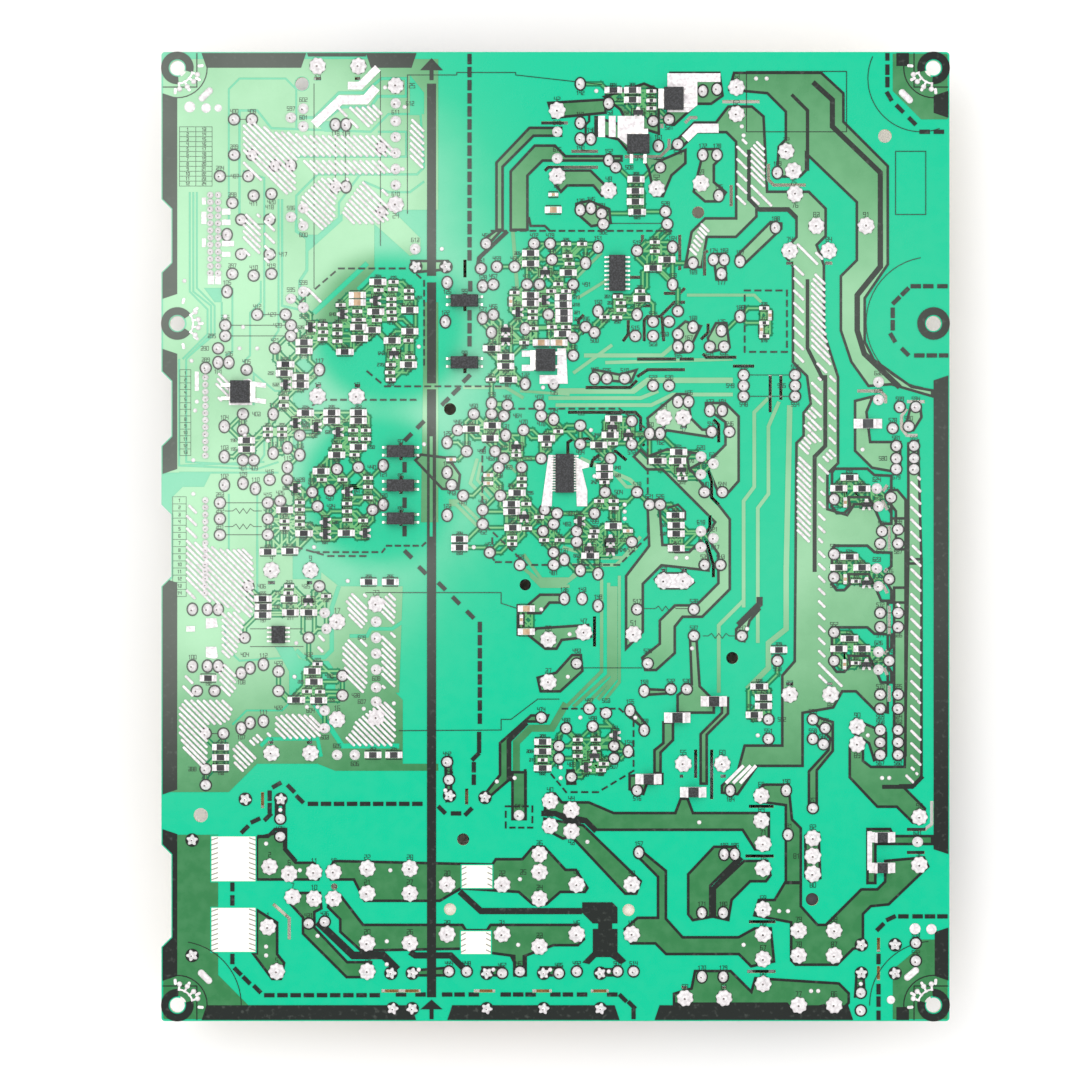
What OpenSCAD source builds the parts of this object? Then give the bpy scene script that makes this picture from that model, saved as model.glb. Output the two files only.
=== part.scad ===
/* [Board] */
// Width of the board, along X
board_w = 222; // [221:0.5:240]
// Length of the board, along Y
board_l = 273; // [272:0.5:290]
// Thickness of the laminate
board_t = 1.6; // [1:0.1:2.4]
// Radius of the board's corners
corner_r = 1; // [0.5:0.1:3]
// Depth of the locating notches in the left edge
notch_depth = 2.8; // [1:0.1:3.4]

/* [Fixing holes] */
// Spacing of the four corner holes, along X
fix_spacing_x = 213; // [209:0.5:214]
// Spacing of the four corner holes, along Y
fix_spacing_y = 264; // [260:0.5:265]
// Bore of the fixing holes
fix_d = 4.2; // [3.2:0.1:4.6]
// Place along Y of the two middle holes
middle_y = 60; // [57:0.5:62]

/* [Layers] */
// Thickness of the copper foil with its mask
foil_t = 0.1; // [0.05:0.01:0.2]
// Thickness of the printed ink and of the thin tin
ink_t = 0.04; // [0.02:0.01:0.06]
// Width of the printed outline round each mains area
outline_w = 0.8; // [0.4:0.1:1.2]
// Depth of the windows in the mask
window_depth = 0.08; // [0.04:0.01:0.2]

/* [Solder] */
// Height of a small joint, without its lead
joint_h = 1; // [0.6:0.1:1.6]
// Height of an eyelet joint
eyelet_h = 1.3; // [0.8:0.1:2]
// How far a clipped lead stands out of its joint
lead_tip = 0.5; // [0.2:0.1:1]
// Diameter of a lead
lead_d = 0.8; // [0.5:0.1:1]
// Diameter of a pin held by an eyelet
pin_d = 1.3; // [1:0.1:1.6]
// Gap round a lead in its hole
lead_gap = 0.1; // [0.05:0.05:0.25]
// Pitch of the solder stripes, along X
stripe_pitch = 3.5; // [3:0.1:4.5]
// Width of a solder stripe
stripe_w = 1.2; // [0.8:0.1:1.6]

/* [Component side] */
// Height of the tallest parts, on which the board rests
tall_h = 24; // [22:0.5:30]
// Wall of the heatsinks
sink_t = 1.5; // [1:0.1:2.5]
// Height of the heatsinks' web above the board
web_z = 12; // [11:0.5:14]
// Gap under the heatsinks' walls
foot_gap = 2.5; // [1.5:0.5:4]
// Width of a transformer's winding, along Y
coil_w = 26; // [22:0.5:28]
// Side of the square middle leg of a transformer's core
leg = 12; // [9:0.5:14]
// Fit between core, bobbin and winding
coil_fit = 0.2; // [0.1:0.05:0.3]

/* [Hidden] */
$fn = 24;

// Pairs up a flat list of coordinates, from the given place in it
function xy(list, from = 0) = [for (i = [from : 2 : len(list) - 1]) [list[i], list[i + 1]]];

// Unit vector to the left of the run from a to b
function left(a, b) = let (d = b - a) [-d.y, d.x] / norm(d);

// Half widths, mitred at the bends, of a line w wide through the points p
function sides(p, w) = let (last = len(p) - 1) [
    for (i = [0 : last]) let (
        s = left(p[max(i - 1, 0)], p[max(i, 1)]) + left(p[min(i, last - 1)], p[min(i + 1, last)])
    ) w * s / (s * s)
];

// A line w wide through the points p, as one outline
module line(p, w) {
    s = sides(p, w);
    polygon(concat(p + s, [for (i = [len(p) - 1 : -1 : 0]) p[i] - s[i]]));
}

// Oval with straight flanks, w across and l along Y
function oval(w, l) = [
    for (a = [22.5 : 45 : 337.5])
        [w / 2 * cos(a), w / 2 * sin(a) + sign(sin(a)) * (l - w) / 2]
];

// Star with n rounded-off points between the radii r1 and r2
function star(n, r1, r2) = [
    for (i = [0 : 2 * n - 1]) let (a = i * 180 / n) (i % 2 == 0 ? r2 : r1) * [cos(a), sin(a)]
];

// A cuboid centred on the origin in plan, standing on z = 0
module block(x, y, z) translate([-x / 2, -y / 2, 0]) cube([x, y, z]);

// Draws its children at each place
module at(places) for (p = places) translate([p.x, p.y, 0]) children();

// Layers of the solder side, from the laminate outwards: foil, print, discs, tin, then the parts
module foil() linear_extrude(foil_t) children();
module layer(n) translate([0, 0, foil_t + n * ink_t]) linear_extrude(ink_t) children();
module seated() translate([0, 0, foil_t + 3 * ink_t]) children();

// Turns parts drawn standing up over to the component side
module back(x = 0, y = 0, turn = 0)
    translate([x, y, -board_t]) mirror([0, 0, 1]) rotate([0, 0, turn]) children();

// ---- Layout: places on the solder side, in millimetres from the middle of the board ----

// Joints with six lobes, round the riveted eyelets of the heavy parts
eyelets = xy([
    -67,132.5, -55.5,132.5, -45,127, 0.5,120, 0.5,101.5, -45,93.5, 51,126.5, 51,119, 15,97.5, 28.5,98,
    41,99.5, 65,108.5, 67,103, 67.5,96.5, 73.5,87.5, 87.5,87.5, 66,80.5, 77,80.5, -67,39.5, -56,39.5,
    30.5,33.5, 36,33.5, -61.5,-24, -50.5,-19, -2,-29, -2,-41, 8,-27, 22,-27.5, 30.5,-12.5, 36,-12.5,
    -61.5,-51.5, -50.5,-51, -1.5,-74.5, -1.5,-81.5, 4.5,-77, 4.5,-83, 36,-64, 47,-64, 58,-80, 58.5,-86.5,
    58,-73, 66,-44.5, 77.5,-44.5, 85,-53.5, 85,-58.5, 102.5,-79, 72.5,-85, 72.5,-90, -75,-95, -68,-94.5,
    -62.5,-94.5, -74,-101.5, -68,-102, -62.5,-102, -78.5,-122.5, -53,-93.5, -53,-100.5, -53,-114.5,
    -53,-122.5, -41,-93.5, -41,-100.5, -41,-114.5, -30.5,-98, -15,-98, -30.5,-112, -15,-112, -4.5,-94.5,
    -4.5,-102, -4.5,-89.5, -4.5,-115.5, 6,-98, 21.5,-98, 6,-112, 21.5,-112, 36.5,-130, 47.5,-130,
    58.5,-93.5, 58.5,-105, 58.5,-112, 58.5,-119, 58.5,-126, 72.5,-95, 102.5,-92.5, 68.5,-111, 78.5,-111,
    68.5,-118, 78.5,-118, 68.5,-132, 78.5,-132
]);

// The same joints, larger, at the mains inlet and one long heatsink
large_eyelets = xy([
    -80,-9.5, -69,-9.5, -80,-61, -69,-61, -80.5,-93, -81,-110
]);

// Small joints of jumpers and axial leads, each inside a printed ring
ring_joints = xy([
    -90.5,117.5, -85.5,117.5, -90.5,107.5, -85.5,107.5, -79,104.5, -74.5,104.5, -94.5,101.5, -86.5,101.5,
    -85,96, -80,96.5, -91,94, 29.5,104, 27.5,117, 32,117.5, 34.5,110.5, 17,104, 31,91.5, 13,91, -88.5,90.5,
    -80.5,90.5, -88.5,88, -80.5,88, -88.5,79.5, -80.5,79.5, -91,74, -85,73.5, -80,74, -84,62.5, -76,62.5,
    -93,59.5, -74.5,59.5, -93,56.5, -74.5,56.5, -95,53, -79,53, -87,47, -98.5,47.5, -49,91.5, -19.5,82.5,
    -21,75.5, -16.5,76, -11.5,76, -1.5,82.5, -1,78, -17.5,71, -8,71, -4.5,71, -17.5,62.5, -2,62.5, 5,71,
    23,80.5, 22.5,56.5, 27.5,60.5, 27.5,56.5, 32,60.5, 34.5,63.5, 34.5,57, 8.5,59, 11,57.5, 5,56, 5,51,
    43.5,53.5, 47.5,53.5, 31.5,88, 13.5,88, -6,82.5, -88,34.5, -88,30, -88,21.5, -85,21.5, -75.5,16,
    -80.5,16, -94.5,9.5, -94.5,5, -94.5,0.5, -81,9.5, -77.5,10, -81,5, -81,0.5, -72,28.5, -61.5,19,
    -55.5,19.5, -68.5,12.5, -63.5,13, -67,9.5, -67,7.5, -51.5,7.5, -23,34.5, -18,34.5, -14.5,34, -13.5,37,
    -4.5,37, -4,34, -27.5,30, -25,24, -17,24, -14.5,22, -9,30, -16,19.5, -9.5,19.5, -4,22, -30.5,14.5,
    -28,14.5, -26,11.5, -15.5,11.5, -20.5,7.5, -20.5,3.5, -3,7.5, 0.5,6.5, -0.5,3.5, -3.5,1.5, 14.5,44.5,
    19.5,44.5, 27.5,42.5, 32,42.5, 53,45.5, 53,42.5, 53,39.5, 44,29.5, 49,29.5, 7,32.5, 7,30, 7,26,
    21.5,32.5, 21.5,26, 15.5,22, 23,12.5, 14,12.5, 26.5,9, 29.5,9, 42,12.5, 47,12.5, 11,6.5, 6,1.5,
    67.5,45.5, 67.5,42.5, 67.5,39.5, 97,36.5, 101.5,36.5, 95,30.5, 99.5,31, 96,25.5, 101,25.5, 96,22,
    101,22, 96,19, 101,19, 78.5,10.5, 92,1.5, 96.5,2, 94.5,11, -86.5,-14, -87.5,-26, -87.5,-28.5,
    -87.5,-31, -69.5,-26, -69.5,-28.5, -69.5,-31, -78,-38, -78,-41, -78,-43.5, -60,-38, -60,-40.5,
    -60,-43.5, -101,-43.5, -96,-43.5, -66.5,-14, -18.5,-4.5, -0.5,-4.5, -10,-8, -0.5,-8, 6,-1.5, 21.5,-1.5,
    23,-20.5, 39,-20.5, 6,-34.5, 6,-37, 26,-34.5, 26,-37, 39,-28, 52.5,-28, 32.5,-43, 37,-43, 42,-8,
    46.5,-8, 78.5,-5, 78.5,-11.5, 78.5,-27, 78.5,-35, 94,-12, 94,-35, 91.5,-2, 96.5,-2, 91.5,-21.5,
    96.5,-21.5, 91.5,-25.5, 96.5,-25.5, 91.5,-44.5, 96.5,-44.5, 62.5,-35, -98.5,-55.5, -93.5,-55.5,
    -98.5,-65.5, -98.5,-70, -78,-46, -60,-46, -77.5,-79.5, -77.5,-84.5, -30.5,-63.5, -30,-68.5, -4,-51,
    9.5,-48.5, 14.5,-48.5, 14,-51, 10.5,-53.5, 3,-54, 1,-59, 1,-62.5, 16.5,-59, 16.5,-62.5, 4.5,-66.5,
    4.5,-69, 23,-71.5, 91.5,-48.5, 96.5,-48.5, 91.5,-54.5, 96.5,-54.5, 91.5,-58, 96.5,-58, 91.5,-61.5,
    96.5,-61.5, 72.5,-51.5, 72.5,-57, 75.5,-58.5, 60,-51.5, 60,-57, 72.5,-76.5, 76,-54, -69.5,-109,
    -65,-108.5, -30,-122.5, -25,-122.5, -15,-123, -10,-122.5, 1,-123, 6,-122.5, 17.5,-122.5, 22,-122.5,
    101.5,-114.5, 101.5,-119.5, 86,-128.5, 86,-133.5
]);

// Taller joints of close pairs of leads
oval_joints = xy([
    -62,116, -59,116, -62,98.5, -59,98.5, -49,109.5, 7,127.5, 7,116.5, 7,112, 10,112, 15,122, 15,106,
    29,110, 41.5,125.5, 45.5,126, 41.5,107.5, 45.5,107.5, 45,96, 47,96, 7,92, 10,92.5, 62.5,102.5,
    -92.5,85, -92.5,69, -95,49, -92,49, -66.5,47, -30.5,71.5, -31,60.5, -20.5,70.5, -20.5,61.5, -18,57.5,
    -8.5,58.5, 8.5,77, 12,81.5, 33,81.5, 33,71, 12,63.5, 23,62.5, 37.5,59, 40,59, 34.5,53.5, 37.5,53.5,
    45.5,58, 48,58, 37.5,77, 40,77, 44.5,78, 47.5,78, 45.5,74, 48,74, 52,77.5, 52,62, 62,87, -94.5,31,
    -92,31, -94.5,22.5, -92,22.5, -79.5,34.5, -79.5,23.5, -75.5,25, -75.5,19.5, -94.5,14.5, -92,14.5,
    -88,15, -84.5,13.5, -72,23, -48.5,20, -48.5,9, -18,37.5, -0.5,33, -30.5,26.5, -14,28.5, -30.5,18,
    -30.5,6, -8.5,43, -0.5,43, 11,44.5, 34.5,38, 37.5,38, 43.5,35.5, 47,35.5, 26.5,29, 29.5,29,
    -103.5,-20.5, -101,-20.5, -98,-20.5, -95,-20.5, -103.5,-36.5, -101,-36.5, -98,-36.5, -95,-36.5,
    -88.5,-38.5, -86,-37, -83.5,-36, -81,-36, 2.5,-6.5, 2.5,-17.5, 7,-9.5, 12,-10.5, 7.5,-17.5, 12,-19.5,
    25,-43.5, -88.5,-54, -86,-52.5, -83.5,-52, -81,-52, 20.5,-60.5, 21,-49, 25,-54.5, 48,-71.5, 50.5,-71.5,
    65,-71.5, 65.5,-84, 23.5,-89, 47.5,-89.5, 50.5,-89.5, 40,-106, 42.5,-106, 46,-106, 48.5,-106, 40,-124,
    42.5,-124, 46,-124, 48.5,-124
]);

// Round joints with no printed ring
plain_joints = xy([
    -71,120.5, -74.5,118, -71,115.5, -45,122, -45,117, -45,112.5, -45,108, -45,103.5, -45,99, 0.5,114,
    0.5,106.5, -74.5,90, -71,92.5, -71,87.5, -71,69, -74.5,67, -71,64.5, -39.5,81, 41,22.5, 41,17.5,
    44.5,20.5, 41,1.5, 91,43.5, 91,38.5, 90.5,13.5, 91,8.5, -65,-21.5, -64.5,-26, -50.5,-24, -50.5,-28.5,
    -50.5,-33, -50.5,-37.5, -50.5,-42.5, 41,-3, 44.5,-0.5, 90.5,-9, 91,-14, 91,-32.5, 91,-37.5, -65,-49,
    -65,-54, -50.5,-46.5, -11.5,-78.5, -9,-78.5, 102,-86, -61.5,-61.5, -56.5,-61.5
]);

// Star joints of the disc capacitors
star_joints = xy([
    -39.5,76, -31,76, -87.5,-74, -77.5,-74, -30,-73, -20,-73.5, -102.5,-85.5, -102.5,-118, -46.5,-123,
    -40.5,-123, -19.5,-123, -3.5,-123, -46,-133, -40.5,-133, -19.5,-133, -3.5,-133, 12.5,-123, 12.5,-133,
    86,-115, 95.5,-115, 86,-123, 95.5,-123
]);

// Tooling holes: place and bore of each
tooling_holes = [
    [-71.4, 127.5, 3.8], [92.8, 112.8, 3.8], [40.2, 91.3, 3.4], [-29.7, 35.9, 3.4], [-8.5, -13.6, 3.2],
    [49.8, -34.2, 3.4], [-99.9, -78.5, 4], [-26, -85.3, 3.4], [-29.7, -105, 3.4], [20.6, -105.2, 3.4],
    [72.3, -102.2, 3.6], [-62.3, -98.6, 1.8]
];

// Slots milled through the board, each a line of points
slots = [
    [-68,129, -66,129], [-56.5,129, -55,129], [-4,116.5, 3.5,116.5], [4.5,108.5, 12,108.5],
    [-3,103, -2,104, 12,104], [19.5,107, 29.5,107, 32,109.5, 32,112], [30,115, 30,121],
    [47,122.5, 57.5,122.5], [36.5,116.5, 38,118, 40,118], [49.5,99, 49.5,93],
    [60,105, 60,100.5, 61.5,99, 70.5,99], [-25.5,73, -25.5,78], [-25.5,63.5, -25.5,68.5],
    [-25.5,46, -25.5,51.5], [65,77, 67,77], [76,77, 78,77], [24.5,85, 24.5,79, 23,77.5], [21,73, 25,73],
    [35,85, 35,75], [43,80.5, 42,80, 42,73.5], [30.5,68.5, 35,68.5, 36.5,70],
    [28,65, 22,65, 20.5,63.5, 20.5,57, 19,55], [36.5,66, 33.5,66, 29.5,62, 26,62, 25,61, 25,55],
    [30,62, 30.5,55], [8,62.5, 6.5,61, 6.5,58.5, 8,57], [43,60, 43,57.5, 41,55.5], [23,50, 34,50],
    [35,50, 39,50], [41.5,51.5, 42.5,50.5, 51,50.5], [50,48, 56,48], [23,45, 26,47, 36.5,47],
    [-67.5,42.5, -66,42.5], [-56.5,42.5, -55,42.5], [-43.5,21.5, -43.5,26.5], [-43.5,12, -43.5,17],
    [-43.5,3, -43.5,7.5], [30,31, 31,31], [35.5,31, 37,31], [3.5,35, 22.5,35, 24,33.5, 24,27, 25,25.5],
    [8.5,42, 21,42, 23,44], [44.5,33, 46,31.5, 46,26.5], [10,19.5, 10.5,21.5, 13.5,24, 17,24, 20,21.5],
    [3.5,23, 3.5,26.5, 5,27.5, 10.5,27.5], [42.5,20.5, 44,15.5, 44,11, 46,9], [60.5,45.5, 60.5,35],
    [63.5,45.5, 63.5,38.5], [85,41, 91.5,41, 93,39.5, 93,37.5], [99,38, 104,38],
    [99,36, 97.5,34, 97.5,30.5, 99,28.5, 102,28.5], [43.5,6, 43.5,2.5, 42,0.5], [-81,-13, -79,-13],
    [-70,-13, -68.5,-13], [11,-22.5, 11,-31], [44.5,-8, 44.5,-11.5], [30,-9.5, 31,-9.5],
    [35.5,-9.5, 37,-9.5], [94,3, 94,-4], [94,-19.5, 94,-27.5], [94,-42, 94,-46.5],
    [93.5,-9, 92,-11, 92,-13, 93.5,-16], [93.5,-32, 92,-34, 92,-36, 93.5,-39],
    [93.5,14.5, 92,12.5, 92,10.5, 93.5,7.5], [65,-41.5, 67,-41.5], [76.5,-41.5, 78,-41.5],
    [42,0.5, 44.5,-8], [-81,-58, -79.5,-58], [-70,-58, -68.5,-58], [-82.5,-72, -82.5,-76.5],
    [-25,-71, -25,-75.5], [35,-67.5, 36,-67.5], [46.5,-67.5, 48,-67.5], [39.5,-60, 39.5,-68],
    [44,-60, 44,-74], [54.5,-76, 61.5,-76], [106,-74.5, 106,-81, 104,-82.5, 99,-82.5], [99,-89, 104,-89],
    [-79.5,-103.5, -75,-107.5, -75,-113.5], [-49,-128, -38,-128], [-23,-128, -17,-128],
    [-6.5,-128, -1,-128], [10,-128, 15,-128], [54.5,-108.5, 62,-108.5], [54,-122.5, 62,-122.5],
    [53.5,-90, 61.5,-90], [35.5,-127, 37,-127], [47,-127, 48,-127], [91,-113, 91,-117], [91,-121, 91,-125],
];

// Copper of the mains side, outlined in print
primary_zones = [
    [14.5,123.5, 14.5,119, -1,117.5, -2.5,122.5],
    [2,115.5, -7.5,115.5, -17,105.5, -17,86, -14.5,86, -14.5,104, -6,112.5, 2,112.5],
    [0,110.5, -6,110.5, -13,103, -13,86, -7.5,86, -7.5,101.5, -3.5,105.5, 19,105.5, 19,107.5, 3,107.5],
    [10,103.5, 14,99.5, 17,99.5, 17.5,96.5, 13,95.5, 10.5,98.5, 3.5,98.5, 1.5,96.5, -2,101, -1,103.5],
    [32,131, 46.5,131, 47.5,124, 44,121.5, 40,121.5, 33.5,115.5, 31,116],
    [11.5,118.5, 11.5,113, 17.5,111.5, 20,108.5, 30,106.5, 37,109.5, 37,105, 33,101.5, 30.5,95.5, 27.5,95.5,
      26,103, 18,120, 13,124, 25,128, 29.5,126, 29.5,113],
    [41.5,109.5, 46,109.5, 47,106.5, 45,104.5, 45,100, 48.5,97, 46.5,94, 42,94, 38.5,97],
    [48.5,125.5, 50,131, 75,131, 81.5,125, 81.5,117, 94,104.5, 94,76.5, 87.5,67, 87.5,55, 90,50, 100.5,42.5,
      106.5,41.5, 106.5,39, 94.5,42.5, 88,42, 83,49, 80,58, 80,73.5, 84.5,78, 84.5,94, 71,107, 71,103,
      69,101, 62,101, 62.5,110, 64.5,112, 64.5,119.5, 59.5,124.5],
    [-41,78, -30,78, -29,75, -40,74], [-17,86.5, -21,83.5, -20,80.5, -14.5,86.5],
    [51,76, 53,76, 64,86.5, 64,88.5, 60.5,89, 50.5,79], [44,80, 48,80, 48.5,72, 45,72],
    [36.5,61, 41.5,59.5, 37.5,51.5, 33.5,51.5, 33,58], [45,60.5, 48.5,60.5, 49.5,53, 43.5,51.5, 42.5,56],
    [5.5,94, 5.5,91, 10,87, 16,88, 15.5,92.5, 9.5,95],
    [25.5,33.5, 34,40.5, 37.5,40.5, 38.5,33.5, 41.5,30.5, 45,30.5, 44.5,27.5, 31.5,29.5, 29.5,27, 26.5,27],
    [42,38, 48,38, 52,34, 52,15.5, 48,11, 46,11, 42,20.5, 47.5,26, 47.5,32, 42,36],
    [21.5,22.5, 25.5,18.5, 30,18.5, 44.5,4, 42,0, 45.5,-5, 45.5,-13, 39.5,-19, 33.5,-19, 29,-23.5, 29,-30,
      24,-34, 25,-38, 28.5,-38, 34,-33, 34,-25.5, 36,-23, 41.5,-23, 49.5,-15, 49.5,5, 38.5,19, 42,21,
      42.5,23.5, 31.5,25, 26,23, 24,25],
    [29.5,11, 30.5,-2, 33,-2, 34,-4, 37.5,-4, 41,-0.5, 43.5,-5, 43.5,-10, 30,-8.5, 25,-13.5, 25,-27,
      19.5,-32.5, 19.5,-11, 26,-2.5, 25.5,10],
    [10.5,47.5, 18,46, 23.5,47.5, 21.5,43, 9.5,44],
    [84,38.5, 90,40, 88,35, 89,27, 97.5,27, 97.5,17.5, 89,19, 84,24],
    [92.5,11, 94,13.5, 96.5,13.5, 99,10.5, 99,-4, 95.5,-4, 95.5,7], [99,-8, 99,26.5, 102.5,27.5, 103.5,-8],
    [100,38, 103,38, 103.5,33.5, 101,29.5, 98,30],
    [-40,21.5, -32,13, -27,13, -26.5,17.5, -30,22.5, -38,23.5],
    [-8,-19, -4.5,-16, 3,-16, 3,-19, -1.5,-19, -4,-22, -8,-22],
    [-5.5,-25.5, 9.5,-24.5, 10.5,-28.5, 2,-29.5, 0.5,-32, -3,-32, -8,-28],
    [-5.5,-39.5, 0,-38, 4.5,-33, 7.5,-33, 8,-38, 1.5,-44, -4.5,-44],
    [29.5,-10, 37,-10, 39.5,-13, 37,-15, 29.5,-15, 27.5,-12],
    [37.5,-28, 40,-27, 41,-42, 45,-46, 45,-50, 34,-50, 34,-44.5, 38,-41.5],
    [50.5,-29, 50.5,-26, 57,-19.5, 58,-20.5, 55,-24, 53.5,-30], [-31.5,-62, -29,-62, -29,-74.5, -31,-75],
    [-1.5,-50, -7,-50, -16,-58, -16,-67, -21.5,-74, -20,-75, -13,-69, -13,-57.5, -8,-52.5, -2.5,-52.5],
    [-12.5,-66, -12.5,-80, -8,-80, -8,-66],
    [-2.5,-72, 0,-72, 2,-74.5, 9.5,-74.5, 16.5,-77.5, 33.5,-77.5, 35,-73.5, 37.5,-73.5, 39,-77.5,
      60.5,-77.5, 60.5,-88.5, 56,-88.5, 52.5,-83, 11.5,-83, 8.5,-80, -3.5,-77.5],
    [-3.5,-79, 8,-81, 24.5,-97, 23,-101, 19.5,-101, 4.5,-85, 2,-85.5, -3.5,-82.5],
    [30,-52, 30,-58, 27.5,-60, 27.5,-67, 30,-67, 30,-61, 33.5,-57.5, 33.5,-52],
    [49,-45, 49,-50, 43,-56, 43,-70, 40.5,-70, 40.5,-55.5, 46.5,-49.5, 46.5,-46],
    [20,-48.5, 22,-48, 26.5,-53.5, 26,-55.5, 20,-50.5], [24,-42.5, 33.5,-43, 33,-44.5, 25.5,-45],
    [3,-65.5, 5.5,-65.5, 6,-70, 3,-70], [20.5,-67, 30.5,-66.5, 30.5,-70, 26,-70, 25,-73, 20.5,-71.5],
    [84,-51, 93.5,-55, 93.5,-62, 89.5,-63.5, 88,-58.5, 83.5,-55.5],
    [82.5,-59, 82.5,-68, 90.5,-76.5, 96,-76.5, 100.5,-81, 103.5,-81, 104.5,-76.5, 98.5,-70.5, 101.5,-70.5,
      103.5,-67.5, 103.5,-6, 99,-6, 98,-64.5, 89,-64.5, 87,-63, 87,-58, 85,-56.5],
    [74,-50.5, 78.5,-52, 78.5,-60.5, 74,-66, 74,-77, 71,-77, 71,-66, 76.5,-60, 77,-57, 73,-53],
    [56,-72, 58.5,-69.5, 66,-69.5, 67,-79.5, 69.5,-82, 69.5,-98, 64.5,-98, 64.5,-76, 57,-75],
    [95.5,-84, 106.5,-84, 106.5,-87, 90.5,-87, 90.5,-98, 87.5,-98, 87.5,-82, 94.5,-82],
    [66.5,76, 66.5,49, 70.5,45, 71.5,37.5, 69.5,35, 69.5,28.5, 67.5,26.5, 67,-35, 63.5,-39, 63.5,-58.5,
      53,-58.5, 51,-66, 46.5,-70, 46.5,-72.5, 51.5,-73, 57,-65, 70,-65, 70,-50, 78.5,-48.5, 81,-44,
      84.5,-44, 90,-49.5, 94,-50, 94,-19, 99,-19, 99,5.5, 95,5.5, 95,9.5, 84,9.5, 82,6.5, 77,8, 77,17.5,
      80,20.5, 80,45, 76,57.5, 76,76.5, 74,82, 76.5,84.5, 76.5,92.5, 71.5,97.5, 60,97.5, 59,118.5,
      55.5,121.5, 48.5,121.5, 45,117, 39,117, 30.5,108.5, 36,109.5, 40,113.5, 48,113.5, 50.5,111, 50.5,90,
      42,90, 38,86, 36,75.5, 41.5,75.5, 43,84, 51,84, 57,90, 57,92, 65.5,92, 67.5,90, 67.5,84.5, 63.5,80],
    [95,-14, 99,-14, 99,-62, 95,-63],
    [-84.5,-84.5, -76,-82.5, -76,-88, -73,-91.5, -68,-91.5, -65.5,-94, -66.5,-97, -84.5,-97],
    [-64.5,-94, -62.5,-91, -18,-92, -17,-90.5, -9.5,-90.5, -6.5,-87, -3,-87, 3,-93.5, 6,-93.5, 9.5,-99,
      8.5,-100.5, 1.5,-100.5, -2.5,-104, -6.5,-104, -10.5,-100.5, -26.5,-99.5, -32.5,-103, -54,-103,
      -57,-97, -63.5,-97],
    [-76.5,-102, -75,-100, -66,-100, -65.5,-105, -67.5,-106, -67.5,-110, -58.5,-119.5, -51.5,-119.5,
      -52,-124.5, -59,-124.5, -71.5,-112, -71.5,-107.5],
    [-63.5,-100, -60.5,-100.5, -54,-109, -26,-109, -25,-110.5, -19.5,-110.5, -18.5,-109, 6.5,-109,
      8.5,-113.5, 6.5,-115.5, -0.5,-115.5, -8.5,-118.5, -8.5,-123.5, -12,-123.5, -12,-118.5, -27,-116.5,
      -55,-117, -61,-111.5, -61,-108, -64.5,-104.5],
    [-84.5,-104.5, -78,-108.5, -78,-117.5, -76,-120, -77,-125, -80,-125, -86,-117, -84.5,-117],
    [22,-89.5, 23,-87, 31.5,-94, 31.5,-107.5, 36,-112.5, 51.5,-112.5, 56,-110, 61,-110, 62,-120, 55,-121.5,
      51.5,-118, 31,-118, 28,-115, 21,-115, 19,-110.5, 23,-107, 28.5,-107, 28.5,-96],
    [37,-95, 44.5,-87, 51,-87, 52,-90.5, 44,-98.5, 44,-107.5, 38.5,-108.5, 37,-106.5],
    [53,-91, 60,-91, 61,-95.5, 59.5,-97.5, 55,-97.5, 50,-102.5, 49,-108.5, 44.5,-107.5, 44.5,-99],
    [33,-132, 33,-128.5, 38,-127, 39,-122, 49.5,-122, 55,-127.5, 56,-124, 80,-125.5, 83,-128.5, 83,-131.5,
      80,-134.5, 77,-134.5, 75.5,-132.5, 67,-134.5, 65,-132],
    [64.5,-97, 61.5,-102, 57,-102, 55.5,-107, 66,-109, 66,-119.5, 67.5,-121, 79.5,-121, 84,-116.5, 87,-116,
      87,-106.5, 89,-104.5, 94,-104, 105.5,-93, 104,-90, 92.5,-91, 92.5,-97, 90.5,-99, 86,-99, 76,-109,
      74,-109, 69.5,-104, 69.5,-97],
    [70,-84, 74.5,-83, 75,-96.5, 71.5,-97.5, 70,-96], [-42,-122, -29.5,-121, -29.5,-124, -41,-124],
    [-21,-121, -14.5,-121, -14.5,-124, -20.5,-124], [-4.5,-121, 2,-121, 2,-124, -4.5,-124],
    [11.5,-121.5, 18.5,-121.5, 18,-124, 11.5,-124], [84.5,-122, 87,-121.5, 87.5,-129.5, 84,-130],
];

// Earth copper at three corners, with no outline
earth_fields = [
    [95,137, 95,125.5, 103,117.5, 112,117.5, 112,137],
    [95,-137, 95,-122, 101.5,-116.5, 103,-113.5, 112,-113.5, 112,-137],
    [-95,-84, -95,-123.5, -86,-132.5, -86,-137, -112,-137, -112,-84],
];

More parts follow.
